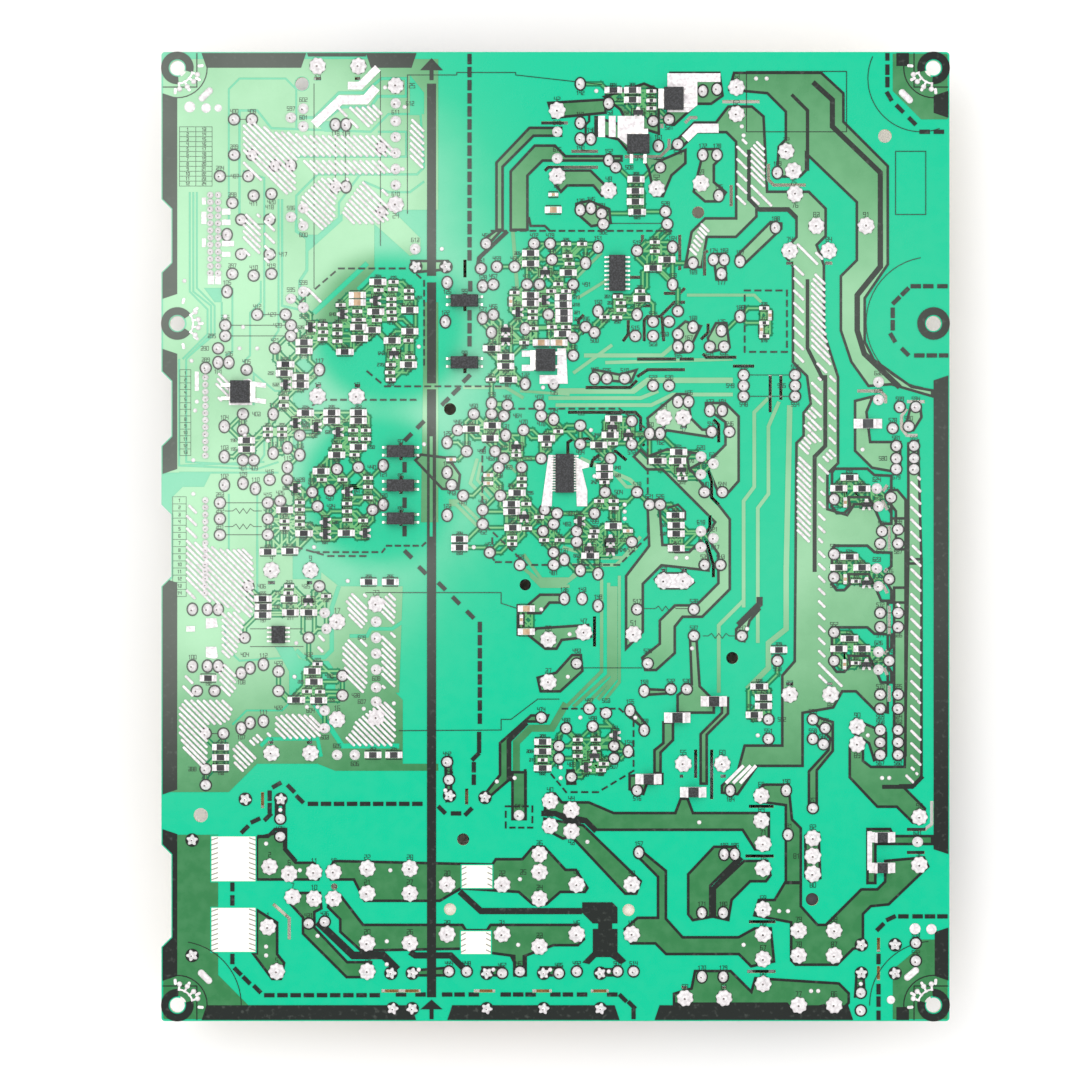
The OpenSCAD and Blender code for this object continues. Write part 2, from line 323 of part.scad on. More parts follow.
// Places where the large copper pour of the low-voltage side is cleared away
pour_clearings = [
    [-41,130, -37,125, -37,119, -41,119], [-68,117, -58,117, -58,114, -65,114],
    [-24,140, -33,137, -29,131, -29,96, -33,92, -33,88, -24,88], [-70,85, -67,85, -60,91, -60,89, -70,80],
    [-99,70, -94,70, -94,66, -96,66],
    [-51,88, -51,75, -56,70, -53,66, -33,66, -33,92, -46,92, -38,84, -38,80, -41,79],
    [-112,18, -97,18, -99,14, -105,14, -108,11, -108,4, -112,4],
    [-79,50, -74,48, -74,4, -70,-2, -38,-2, -37,66, -56,66, -70,50], [-112,4, -108,4, -108,-12, -112,-12],
    [-74,4, -74,-12, -66,-12, -66,-10, -61,-14, -43,-14, -44,-44, -33,-50, -33,4],
    [-79,-31, -74,-31, -72,-35, -64,-35, -62,-38, -62,-46, -75,-46, -75,-38],
    [-112,-72, -92,-72, -84,-64, -67,-64, -62,-66, -29,-66, -29,-64, -43,-64, -43,-46, -45,-44, -33,-44,
      -33,-150, -76,-150, -76,-84, -95,-84, -94,-75, -88,-74, -95,-74, -98,-76, -98,-79, -101,-83,
      -112,-84],
];

// Lines etched through that pour: width, then points
pour_gaps = [
    [0.5, -92,88, -92,126, -89,129, -76,129, -73,126, -73,115],
    [0.6, -89,88, -89,120, -84,120, -80,115, -52,114, -47,119, -38,119, -37,104, -39,102, -67,102, -73,96,
      -73,88],
    [0.6, -73,107, -42,107, -42,114, -50,114],
    [0.8, -72,118, -68,118, -61,125, -54,125, -49,129, -42,129, -42,124, -50,124, -52,121, -60,121,
      -67,116],
    [0.5, -88,103, -82,101, -82,88], [0.6, -61,90, -61,94, -55,102],
    [0.6, -54,100, -47,97, -41,97, -37,100], [0.5, -103,97, -103,69, -98,64, -98,57, -105,50],
    [0.5, -102,97, -102,69, -97,65, -97,57, -104,50], [0.5, -101,97, -101,70, -96,65, -96,57, -103,51],
    [0.5, -94,66, -94,55], [0.5, -91,70, -91,52, -93,51], [0.5, -83,72, -83,66, -86,63, -86,51, -88,49],
    [0.5, -82,88, -82,62], [0.5, -78,95, -78,58, -80,55], [0.6, -77,95, -77,65, -68,63],
    [0.8, -73,88, -73,86, -70,84, -70,75, -72,72, -72,65], [1.4, -68,63, -53,77],
    [0.5, -104,50, -104,21, -84,20, -82,23, -82,28, -80,31], [0.5, -106,50, -106,20, -84,19, -78,21],
    [0.5, -105,20, -82,21], [0.5, -106,18, -78,18], [0.5, -92,12, -92,-4], [0.5, -84,12, -84,-4],
    [0.5, -85,37, -85,46, -79,41, -74,41], [0.6, -84,-1, -84,-23, -86,-24],
    [0.5, -93,-24, -93,-31, -89,-35, -74,-34, -68,-36],
    [1.2, -61,-14, -63,-20, -63,-32, -65,-34, -71,-34, -73,-32],
    [1, -58,-28, -53,-28, -52,-26, -46,-26, -43,-24], [1, -83,-59, -81,-57, -67,-57, -66,-62],
    [0.5, -91,-53, -87,-49, -77,-49, -75,-47], [1.4, -68,-47, -60,-59, -44,-59],
];

// Signal tracks: width, then points
signal_tracks = [
    [0.9, 37,68, 56,68, 58,66], [1.2, 8,51, 30,51, 37,57], [1, 5,46, 16,54], [1, 14,49, 50,50],
    [1.1, -12,86, -10,60], [0.9, 6,67, 19,75], [0.9, 13,80, 4,71], [1, -26,42, -14,42, -9,39],
    [1, -22,22, -24,15, -19,10], [0.9, -21,21, -22,16, -17,10], [1, -30,10, -27,10, -19,2],
    [1, -30,9, -28,9, -21,2], [0.8, -21,28, -11,18], [0.8, -10,41, 4,40], [1.6, 0,41, 22,41, 26,44, 50,44],
    [1.1, -2,39, 24,39, 29,41], [1.1, 0,37, 27,37, 33,40, 50,40], [1.1, 60,39, 56,35, 56,14, 53,10, 53,-20],
    [1.1, 63,38, 60,31, 60,12, 57,8, 57,-30], [1.6, 66,37, 65,-10], [1.2, 7,22, 21,16, 24,13],
    [1, 12,23, 20,14, 22,14], [1, -9,-5, -4,-12, 4,-12, 6,-10], [1, -9,-9, -4,-13, 3,-13, 7,-10],
    [1, -7,-11, -4,-14, 4,-14], [1, 13,-12, 13,-38, 2,-49], [1, 15,-13, 15,-39, 5,-48],
    [1, 16,-14, 16,-40, 8,-48], [1, 17,-14, 17,-40, 12,-46], [0.9, 18,-11, 18,-41, 14,-46],
    [1, 2,-3, 12,-6, 19,-6, 24,0], [1, 4,-8, 17,-8, 23,-3], [1.1, 53,-8, 53,-18, 46,-25, 46,-44],
    [1.6, 65,-8, 65,-26, 60,-30, 60,-37, 54,-43], [2, 3,-47, -1,-54, -7,-54, -11,-58, -11,-66],
];

// Tracks left bare of mask and tinned: width, then points
tinned_lines = [
    [2.6, -68,116, -60.5,123, -53.5,123, -50.5,126.5], [2.2, -58.5,127, -55,127, -50,132],
    [2, 13,112.5, 13,118.5], [2, 16,112.5, 16,118.5], [2.6, 36.5,112, 39.5,115, 46,115],
    [1.8, -94,91.5, -91.5,91.5], [1.6, -94,88.5, -91.5,88.5], [1.6, -94,82.5, -90.5,82.5],
    [1.4, -94,79.5, -91.5,79.5], [1.9, -97,73.5, -97,71], [1.7, -95,73.5, -95,71], [1.5, -99,91.5, -99,88],
    [1.2, -99,84, -99,81.5], [1.2, -99,95.5, -99,93.5], [1.8, -9.5,51.5, -6,51.5],
    [1.8, -9.5,47.5, -6,47.5], [1.4, -85.5,43, -81.5,42.5], [1.4, -85.5,38.5, -81.5,38],
    [1.2, -101,46.5, -101,41], [1.6, -104,-26, -101.5,-26], [2.4, 65,-45, 67.5,-45],
    [2.4, 75.5,-45, 78.5,-45], [1, 48,-69.5, 53,-64.5], [1, 50,-69.5, 55,-64.5], [1, 52,-69.5, 56.5,-64.5],
    [1.4, 88.5,-83, 88.5,-94],
];

// Tinned areas
tinned_areas = [
    [31.5,119.5, 31.5,130.5, 46.5,130.5, 46.5,128, 40,128, 40,121.5, 37.5,119.5],
    [17.5,118.5, 25,118.5, 25,113, 20.5,113, 20.5,110, 17.5,112.5],
    [0.5,53, 3,53, 3.5,43, -4.5,43, -4.5,45.5, 0.5,45.5], [-2,23, -0.5,23, -1,8.5, -4,8.5],
    [5.5,22.5, 9.5,20.5, 9.5,19.5, 7.5,19, 9,13, 9,8.5, 6,8.5],
    [-92,37, -85.5,37, -85.5,44, -86.5,44.5, -92,43],
    [29.5,-10.5, 37,-10.5, 39,-12, 39,-13, 37,-14.5, 30,-14.5, 28,-13, 28,-12],
    [-98.5,-23, -95.5,-23, -95,-25.5, -98.5,-26], [-98.5,-31, -95.5,-31, -95,-34, -96,-34.5, -98.5,-34],
];

// Areas of copper strengthened with slanting stripes of solder
striped_areas = [
    [-88,117, -84,117, -80,114, -74,114, -73,97, -76,96, -88,104], [-76,113, -47,113, -44,107, -76,107],
    [-73,106, -47,106, -46,102, -68,102], [-63,121, -53,121, -50,123, -47,120, -52,115, -58,115, -58,118],
    [-41,118, -37,117, -37,103, -41,105], [-72,96, -67,101, -57,101, -62,95, -62,88, -72,88],
    [-60,93, -55,100, -47,97, -47,88, -60,88], [51,112, 54,112, 54,93, 51,93],
    [55,112, 59,110, 59,98, 63,93, 58,93, 55,95], [-88,91, -83,91, -83,79, -88,79],
    [-82,91, -79,91, -79,77, -82,77], [-68,93, -62,93, -62,90, -66,85, -68,85],
    [-70,71, -65,68, -66,65, -70,68], [67,77, 70,77, 70,46, 67,49],
    [72,74, 76,74, 76,58, 78,46, 75,46, 72,53], [68,85, 76,78, 74,76, 68,79],
    [37,80, 41,89, 44,86, 41,82, 41,79], [72,45, 75,45, 75,26, 72,26],
    [70,35, 72,37, 72,23, 68,23, 68,26, 70,28], [68,23, 72,21, 72,-2, 68,-2], [77,46, 79,46, 79,21, 77,19],
    [74,22, 77,25, 77,16, 74,13], [74,13, 76,13, 76,-2, 74,-2], [100,17, 103,17, 103,-2, 100,-2],
    [-96,46, -92,46, -92,38, -95,38], [-104,9, -101,9, -101,-2, -104,-2], [74,-2, 76,-2, 76,-40, 74,-38],
    [74,-36, 77,-36, 82,-42, 80,-43, 74,-40], [100,-2, 103,-2, 103,-46, 100,-46], [96,-17, 98,-20, 96,-20],
    [96,-27, 98,-29, 98,-33], [96,-40, 98,-44, 96,-44],
    [-104,-1, -93,-4, -88,-3, -85,-6, -85,-23, -94,-19, -104,-17], [-94,-20, -87,-23, -90,-34, -94,-35],
    [-59,-16, -53,-16, -53,-26, -55,-26, -59,-21], [-49,-16, -45,-16, -45,-25, -49,-25],
    [-60,-29, -53,-29, -53,-44, -57,-44, -60,-36], [-49,-27, -45,-27, -45,-43, -49,-43],
    [-67,-27, -65,-28, -65,-33, -67,-33], [-105,-39, -102,-39, -102,-46, -105,-46],
    [-95,-36, -90,-36, -90,-45, -94,-45],
    [-106,-46, -90,-46, -92,-53, -98,-53, -98,-65, -100,-65, -106,-58],
    [-91,-58, -85,-57, -84,-63, -90,-69], [-79,-50, -69,-50, -66,-53, -66,-57, -79,-57],
    [-87,-56, -80,-55, -80,-57, -84,-58], [-60,-57, -54,-50, -53,-59, -59,-59],
    [-49,-46, -45,-49, -45,-59, -57,-59, -57,-52], [100,-46, 103,-46, 103,-66, 100,-66],
    [98,-67, 103,-66, 101,-70, 98,-70],
];

// Heavy printed lines: width, then points
bold_lines = [
    [1.1, 54.5,109, 54.5,95, 57.5,92, 65.5,92, 68,89.5], [1, 66.5,124.5, 71,120, 71,103],
    [1.5, 72.5,128, 78,123, 78,115.5, 91.5,102.5, 91.5,86], [1.2, 11.5,118.5, 11.5,112.5],
    [0.7, 9.5,119, 9.5,117, 8.5,116, 8.5,112], [1.6, 91.5,88, 91.5,76, 85,68, 85,58, 87,51.5, 97,42],
    [1.2, -13.5,86, -21.5,78.5, -22,75, -20.5,74], [0.7, -7.5,90, -7,87.5, -3,87.5, -1.5,86],
    [1.1, 71,72.5, 71,53, 75.5,44], [1.2, 76,45.5, 76,25.5, 73,22.5, 73,-10], [0.7, 38.5,24, 37,22, 38,18],
    [0.7, 31.5,8, 34.5,9, 36.5,7, 36.5,4.5], [1.8, 57.5,-17, 57.5,-19, 51.5,-25], [1, -10.5,-19, -10.5,-28],
    [0.8, -9,-21.5, -9,-25.5], [1.2, -8,-52.5, -13,-57.5, -13,-69], [0.8, -8.5,-65.5, -8.5,-76],
    [1.6, -4,-78, 0,-78, 4,-80, 8.5,-80, 11.5,-83], [1.2, 92,-70.5, 100.5,-70.5, 103.5,-67.5],
    [1, -84,-84.5, -81,-84.5, -79,-82.5, -76,-82.5, -76,-88, -73,-91.5], [1.2, -78.5,-73.5, -78.5,-80.5],
    [1, -76.5,-73.5, -76.5,-80.5], [2.2, -67,-108.5, -57,-118, -48.5,-118, -44.5,-122],
    [1.2, 52.5,-90.5, 44.5,-99, 44.5,-107.5], [1.8, -27,-100, -21,-105.5, 7.5,-105.5],
    [1.8, -41,-117, -39.5,-118, -29.5,-118, -25.5,-122], [0.9, -12.5,-118, -11.5,-120, -11.5,-124],
    [1, -8.5,-118, -8.5,-124],
];

// Printed areas
dark_areas = [
    [7.5,-103, 16,-103, 17.5,-104.5, 17.5,-109, 16,-109, 16,-110.5, 17.5,-110.5, 17.5,-117, 20,-119.5,
      18.5,-120.5, 15.5,-118.5, 11.5,-118.5, 9.5,-120.5, 7.5,-120, 10.5,-117, 10.5,-110.5, 12,-110.5,
      12,-109, 10.5,-109, 7.5,-106],
];

// Resistors 3.2 x 1.6 mm
resistors_1206 = xy([
    21.7,125.7, 21.7,123, 22.7,100.6, 22.5,97.3, 22.5,94.3, -70.8,54.7, -70.8,52.3, -76.4,46, -55.4,59,
    -55.2,55.8, -50,71.7, -41,63.8, -50.6,63.3, -51.6,58.2, -41,57.8, -46,55.2, -41.4,48.4, -7,79.8,
    -7,76.9, 3.6,74.3, -7,68, -7,65.7, 2.2,67.4, 2.2,65.3, 2.4,63.1, 2.4,61.2, 2,57.1, -14,50.6, -14,48,
    31.4,78, 24.3,67, -71.8,44.9, -71.8,42.7, -87,27.1, -87,24.6, -70.4,34.8, -63,34.9, -55.5,34.9,
    -63,32.6, -55.5,32.6, -55.5,25.2, -61.6,23, -66,18.4, -76.3,7.5, -58.9,1, -23.7,30.3, -17.8,31.3,
    -18.4,27.7, -10.8,12.3, -12.4,9.2, -12.3,7, -12,2.5, -2.5,27.7, 16.4,33.2, 15.4,28.6, 12.2,25.8,
    34.7,23.8, 34.4,21.3, 13.8,19.4, 13.8,17.2, 16.3,3, 34,3.2, 34,0.8, 79.8,13.6, 86.3,13.5, -81,-4.3,
    -74.8,-4.1, -75,-17.6, -82.3,-19.8, -82.4,-22.1, -74.6,-21.4, -69.5,-21.4, -68.5,-37.9, -68,-40.9,
    -97.8,-39.9, -27,-0.7, -27,-3.1, -52.6,-12.8, -46.5,-12.8, 34,-3.3, 62.9,-31.9, 79.8,-8.7, 86.3,-8.7,
    79.8,-31.6, 86.3,-31.6, -94.3,-59.3, -94.3,-62.2, -94.3,-65.1, -66.7,-46.1, -51.4,-61.5, -45.5,-61.5,
    -3.6,-57.8, -3.6,-60.5, 58.6,-45.3, 58.6,-47.7, 56,-50.2
]);

// Resistors 1.6 x 0.8 mm, along X
resistors_0603 = xy([
    27,125.4, 27,122.8, 27,120.6, -55.8,63.4, -60.5,65.2, -56,61, -65.6,59.6, -65.4,57.6, -65.6,55.6,
    -61.4,59.4, -61.4,57.2, -61.4,55, -45.6,71.7, -49.8,69.4, -45.8,69.6, -41.3,69.2, -46.2,66.9,
    -46.2,65.2, -41.2,67.3, -46.2,63.2, -50.3,60.9, -46,61.3, -41.4,55.2, -41,50.5, -46.4,48.4, -54.8,61,
    0.8,71.1, -1.2,69.1, 3,69.1, -11.5,68.7, -6.4,63.4, -6.4,61.6, -6.2,58.6, -1,59, 3,59, -8.8,54.6,
    3,82.4, 7.5,82.4, 3.4,79, 4,76.8, 28,82.9, 28,80.3, 23.8,69.1, 17.6,67.6, 18.4,65.8, 18.6,63.8,
    17.4,61.7, 13.8,61.8, 58.8,64.3, 58.8,60.2, 58.8,56.4, -76.5,39, -76.5,36.9, -81,30.3, -77,30.3,
    -81,28.6, -77,28.6, -57,29.9, -53.4,29.9, -57,27.5, -53.4,27.5, -61.5,25.4, -56.6,23, -65.8,16, -60,16,
    -72,9.6, -72,7.6, -58.7,9.3, -58.7,7.1, -72,5.3, -72,3.4, -76.3,4.3, -76.3,2.4, -58.6,4.7, -54.2,4.5,
    -52.8,16.5, -52.8,14, -52.8,11, -46.6,46.2, -46.4,44.2, -11,22.9, -18.2,44.2, -9.5,16.3, -9.5,14.4,
    -8.2,9.2, -4.6,5.5, -8,2.3, -2.5,25.9, 0.8,29.6, 16.2,26.2, 35.8,16.4, 13.8,15.3, 12.3,10, 16.4,10,
    16.4,8, 11,1.5, -75,-14, -75.2,-15.9, -64.6,-16.8, -67,-35.9, -70,-43.6, -66.3,-43.7, -12.2,-0.3,
    -12.2,-2.1, -3.2,-1, 1.2,-1, 10.6,0, 84.6,-12.6, 84.6,-35.6, -3.6,-62.9, 6.3,-57.2, 11.3,-57.2,
    6.2,-59.5, 11.3,-59.5, 6.3,-61.8, 13.6,-64, 12.8,-65.8
]);

// Capacitors 3.2 x 1.6 mm, along X
capacitors_1206 = xy([
    -0.6,92, -55.8,68, -55.8,65.9, -4,54.6, 1,54.6, -8.2,-20.3, -8.2,-26.8
]);

// Capacitors 1.6 x 0.8 mm, along X
capacitors_0603 = xy([
    -0.6,96.3, -29.4,21.7, -18.9,17.3, -18.9,15, 20.4,1.6
]);

// The same, along Y
capacitors_0603_up = xy([
    -12.6,66.2, 60.4,62.3, 58,58.3, 81.6,9.6, -9.6,-23.4, 81.6,-12, 81.4,-36
]);

// Glass-sized diodes
small_diodes = xy([
    16.3,125.7, 23,91.4, -76,48.5, -59.3,52, -18,53, 27.5,75.6, -70.8,0.9, -13.3,44.2, 28.8,21.3, 33.8,6,
    82.8,16.6, -82.4,-17.5, 9.8,-5.4, 57.4,-42.2, 82.8,-5.7, 82.8,-28.7, -73,-46, -3.6,-65.2
]);

// Three-lead transistors, along X
transistors = xy([
    23.3,119.4, -45.5,51.6, -2.9,74.4, -14,58.2, -14,55.4, -11,25.3, -8.8,5.6, 16,30.8, 20.5,28.6,
    35.4,18.8, 87.6,9, -69.6,-18, 15.5,-1, 15.5,-3.8, 9.5,-3.4, 87.6,-13, 87.6,-36, 11,-61.7
]);

// The same, along Y
transistors_up = xy([
    -69,58.9, -60,62.6, -50.7,66.4, -3.2,66.6, -10.6,63.2, -76,42.8, -73.2,31.9, -67.4,30.8, -61.2,29.4,
    -73.2,13.6, -58.6,12.6, -64.8,4, -64.8,0.6, -53.6,1, 6.8,4.3, 16.8,-56, 8.6,-65
]);

// Large current-sensing resistors
shunts = xy([
    88,31.8
]);

// Power diodes
rectifiers = xy([
    34.3,-51, 44.6,-46.4, 26.2,-68.3, 38.8,-72, 92,-84.7, 92,-93.3
]);

// Single dashes of the isolation line: angle, then places
single_dashes = [
    [90, [
        -24,70.5, -42.5,19.5, -42.5,9.5, -42.5,1.5, -21.5,-56.5, -21.5,-59.5, -23,-65, -23,-68.5,
        -80.5,-73, -80.5,-76.5, -91,-98.5, -91,-102.5, -91,-119, 22,-134.5, 93.5,135.5, 93.5,131.5,
        93.5,128, 95,63, 95,59.5, 91,-119, 91,-127.5, 91,-131, 91,-135
    ]],
    [0, [
        -28,-78, -43.5,-129, -38,-129, -30.5,-129, -27,-129, -23,-129, -14,-129, -10.5,-129, -7,-129,
        0,-129, 3.5,-129, 7.5,-129, 16,-129, 104,114, 108,114, 101.5,70.5, 105,70.5, 109,70.5, 102.5,51,
        106,51, 109.5,51, 98,-107, 102,-107, 105.5,-107, 109,-107
    ]],
    [45, [
        -25,44.5, -28,41, -31,38, -38,31.5, -41.5,28, -22.5,-62, -24.5,-77.5, -81,-79, -87.5,-82.5,
        98.5,69, 96,66.5, 91.5,-110
    ]],
    [-45, [
        -41.5,-5, -37.5,-9.5, -32,-14, -28,-18, -24,-22, -32,-77, -72,-74, -74.5,-71, -89.5,-122.5,
        -87,-125, -84,-127.5, 19,-130, 21.5,-132, 97,120.5, 100.5,117, 98.5,52
    ]],
    [25, [
        -84.5,-80, 94.5,-107.5
    ]],
    [30, [
        -78.5,-70
    ]],
    [-60, [
        94,124, 95,56
    ]],
];

// ---- Laminate ----

fixing_holes = concat(
    [for (x = [-1, 1], y = [-1, 1]) [x * fix_spacing_x / 2, y * fix_spacing_y / 2]],
    [for (x = [-1, 1]) [x * fix_spacing_x / 2, middle_y]]
);
fix_lobe = 2.9;
fix_lobe_d = 2.5;
notches = [[-115.6, -86.8], [-14, 9], [25.5, 46.5], [74.4, 95]];
left_x = -board_w / 2;
comb_windows = [[-90.7, -90.8, 12.4, 12.6], [-90.7, -110.8, 12.4, 12.4]];
spark_windows = [[-22.1, -95.8, 8.6, 6.4], [-22.4, -114.4, 8.4, 6.4]];
slot_w = 0.9;

all_small_joints = concat(ring_joints, oval_joints, plain_joints, star_joints);
header_pins = concat(
    [for (i = [0 : 11], x = [-97.2, -95]) [x, 96.2 - 2 * i]],
    [for (i = [0 : 12]) [-98.6, 46.8 - 2 * i]],
    [for (i = [0 : 13]) [-98.6, 10.2 - 2 * i]]
);
all_eyelets = concat(eyelets, large_eyelets);

module board_outline() difference() {
    offset(r = corner_r) square([board_w - 2 * corner_r, board_l - 2 * corner_r], center = true);
    for (n = notches) polygon([
        [left_x - 1, n[0] - 1], [left_x, n[0]], [left_x + notch_depth, n[0] + notch_depth],
        [left_x + notch_depth, n[1] - notch_depth], [left_x, n[1]], [left_x - 1, n[1] + 1]
    ]);
}

module lead_holes(places, d) at(places) translate([0, 0, -board_t - 1]) cylinder(d = d, h = board_t + 2);

module board() color("#1FC48C") difference() {
    translate([0, 0, -board_t]) linear_extrude(board_t) board_outline();
    lead_holes(fixing_holes, fix_d);
    for (x = [-1, 1], y = [-1, 1])
        translate([x * (fix_spacing_x / 2 - fix_lobe * sqrt(0.5)),
                   y * (fix_spacing_y / 2 - fix_lobe * sqrt(0.5)), -board_t - 1])
            cylinder(d = fix_lobe_d, h = board_t + 2);
    lead_holes(all_small_joints, lead_d + 2 * lead_gap);
    lead_holes(header_pins, lead_d + 2 * lead_gap);
    lead_holes(all_eyelets, pin_d + 2 * lead_gap);
    for (h = tooling_holes) lead_holes([h], h[2]);
    for (s = slots) translate([0, 0, -board_t - 1]) linear_extrude(board_t + 2) line(xy(s), slot_w);
    for (w = concat(comb_windows, spark_windows))
        translate([w.x, w.y, -window_depth]) block(w[2], w[3], 1);
}

// ---- Copper and print ----

// Clears all that is drawn in plan off the holes, slots and edges of the board
module on_board(edge = 0) intersection() {
    children();
    difference() {
        offset(delta = -edge) board_outline();
        at(fixing_holes) circle(d = fix_d + 1);
        for (h = tooling_holes) translate([h.x, h.y]) circle(d = h[2] + 0.4);
        for (s = slots) line(xy(s), slot_w + 0.2);
        for (w = concat(comb_windows, spark_windows))
            translate([w.x, w.y]) square([w[2] + 0.6, w[3] + 0.6], center = true);
    }
}

// Opens the places where an outline meets itself at a single point
module clean() offset(delta = 0) offset(delta = 0.03) offset(delta = -0.06) children();

pour_right = -33;
pour_bottom = -72;

// Copper pour of the low-voltage side, which covers the upper left of the board
module pour() difference() {
    polygon([[left_x, pour_bottom], [pour_right, pour_bottom], [pour_right, board_l / 2 - 2],
             [left_x, board_l / 2 - 2]]);
    for (c = pour_clearings) polygon(xy(c));
    for (g = pour_gaps) line(xy(g, 1), g[0]);
}

// Emerald pockets round the three lamp drivers
driver_dy = [21.7, 0, -23];
driver_pocket = xy([
    77.5,-13.5, 77.5,-3.5, 78.5,-2.2, 88,-2.2, 90,-4, 95,-4.2, 95,-8.5, 92.5,-11, 95,-15,
    95,-18.5, 91.5,-18.5, 90,-15, 88,-11, 83,-11, 83.5,-13.5, 81.5,-15.5, 79,-15.5
]);

module copper_foil() color("#3F8A50") foil() clean() on_board(0.5) {
    pour();
    difference() {
        for (z = primary_zones) polygon(xy(z));
        for (dy = driver_dy) translate([0, dy]) polygon(driver_pocket);
    }
    for (z = earth_fields) polygon(xy(z));
    for (t = signal_tracks) line(xy(t, 1), t[0]);
}

module outline_of(points) difference() {
    polygon(points);
    offset(delta = -outline_w) polygon(points);
}

module zone_outlines() {
    for (z = primary_zones) outline_of(xy(z));
    for (dy = driver_dy) translate([0, dy]) outline_of(driver_pocket);
    for (b = bold_lines) line(xy(b, 1), b[0]);
    for (a = dark_areas) polygon(xy(a));
}

// Bands along the edges: a side's place, then the ends of each run, with 45 degree ends
band_w = 4.5;
module band(x1, x2, w = band_w) polygon([[x1, 0], [x2, 0], [x2 - w / 3, -w], [x1 + w / 3, -w]]);
module edge_bands() {
    translate([0, board_l / 2]) {
        band(-99.8, -70.1);
        band(-70.1, -53, 1.3);
        band(-53.5, -39);
    }
    translate([left_x, 0]) rotate(90) {
        band(66.8, 125, band_w);
        band(17.5, 53);
        band(-72.8, -11.5);
        band(-125.3, -82.3);
    }
    translate([board_w / 2, 0]) rotate(-90) {
        band(-45.5, 89.6);
        band(110, 125.2, 4.2);
        band(-125.7, -117.8);
    }
    translate([0, -board_l / 2]) rotate(180) {
        band(39.1, 99.8);
        band(-18.2, 30.6);
        band(-84, -27.8);
    }
    for (s = [1, -1]) translate([97.8, s * (board_l / 2 - 2)]) square([3.6, 4], center = true);
}

// The double-ended arrow that points to the two ends of the isolation gap
arrow_x = -34.9;
arrow_w = 2.6;
module arrow() translate([arrow_x, 0]) {
    for (run = [[-129.8, 0], [28.2, 41.5], [43.1, 71.6], [73.4, 127.6]])
        translate([-arrow_w / 2, run[0]]) square([arrow_w, run[1] - run[0]]);
    translate([-arrow_w / 2, 0]) square([0.8, 28.2]);
    translate([arrow_w / 2 - 1, 0]) square([1, 28.2]);
    polygon([[0, 134.8], [-3.3, 131.3], [3.3, 131.3]]);
    translate([-0.6, 128.5]) square([1.2, 2.8]);
    polygon([[0, -130.4], [-3.2, -133.2], [3.2, -133.2]]);
    translate([-0.6, -136]) square([1.2, 2.8]);
}

dash_l = 3;
dash_w = 1.25;
dash_runs = [
    [[-24.2, 134.5], [-24.2, 79.2], 16, 90],
    [[-24.2, 62.3], [-24.2, 55], 3, 90],
    [[-21.3, -25.5], [-21.3, -51.3], 8, 90],
    [[-38.9, -75.3], [-68.3, -75.3], 9, 0],
    [[-80.6, -129.2], [-50.9, -129.2], 9, 0]
];
module dash(p, turn) translate(p) rotate(turn) square([dash_l, dash_w], center = true);
module isolation_dashes() {
    for (d = single_dashes, p = xy(d[1])) dash(p, d[0]);
    for (r = dash_runs, i = [0 : r[2] - 1]) dash(r[0] + (r[1] - r[0]) * i / (r[2] - 1), r[3]);
}

module printed_lines() color("#26302C") layer(0) clean() on_board(0.3) {
    zone_outlines();
    edge_bands();
    arrow();
    isolation_dashes();
}

// Printed discs, of which the joints leave only the rims to be seen, and rings round the fixing holes
module discs(places, d) at(places) layer(1) circle(d = d);
module printed_discs() color("#26302C") {
    discs(ring_joints, 3.4);
    discs(oval_joints, 3.8);
    discs(star_joints, 4);
    discs(eyelets, 5.4);
    discs(large_eyelets, 5.9);
    at(fixing_holes) layer(1) difference() {
        circle(r = 4.6);
        circle(r = 3.4);
    }
}

// ---- Tinned copper ----

module tinned_tracks() color("#E8E6E4") layer(2) clean() on_board() {
    for (t = tinned_lines) line(xy(t, 1), t[0]);
    for (a = tinned_areas) polygon(xy(a));
}

// Solder stripes at 45 degrees inside an area
module stripes(points) intersection() {
    offset(delta = -0.3) polygon(points);
    let (c = [for (p = points) p.x + p.y])
        for (k = [ceil(min(c) / stripe_pitch) : floor(max(c) / stripe_pitch)])
            translate([k * stripe_pitch, 0]) rotate(-45) square([700, stripe_w], center = true);
}

module solder_stripes() color("#E8E6E4") layer(2) clean()
    for (a = striped_areas) stripes(xy(a));

// Tinned lands that the fixing screws press on, fanned round the inner side of each hole
land_r = 6.6;
module lands(turn, spread, n) for (i = [0 : n - 1])
    rotate(turn - 90 + spread * (i / (n - 1) - 0.5)) translate([0, land_r]) polygon(oval(0.9, 1.8));
module hole_contacts() color("#E8E6E4") layer(2) {
    for (x = [-1, 1], y = [-1, 1])
        translate([x * fix_spacing_x / 2, y * fix_spacing_y / 2])
            lands(atan2(-y, -x), 100, 4);
    translate([-fix_spacing_x / 2, middle_y]) lands(0, 150, 5);
}

// ---- Solder joints ----

// Solder cone of foot radius r, drawn up round a lead of diameter d
module cone_joint(r, h, d = lead_d) rotate_extrude($fn = 20)
    polygon([[0, 0], [r, 0], [r * 0.65, h * 0.45], [d / 2, h], [d / 2, h + lead_tip], [0, h + lead_tip]]);

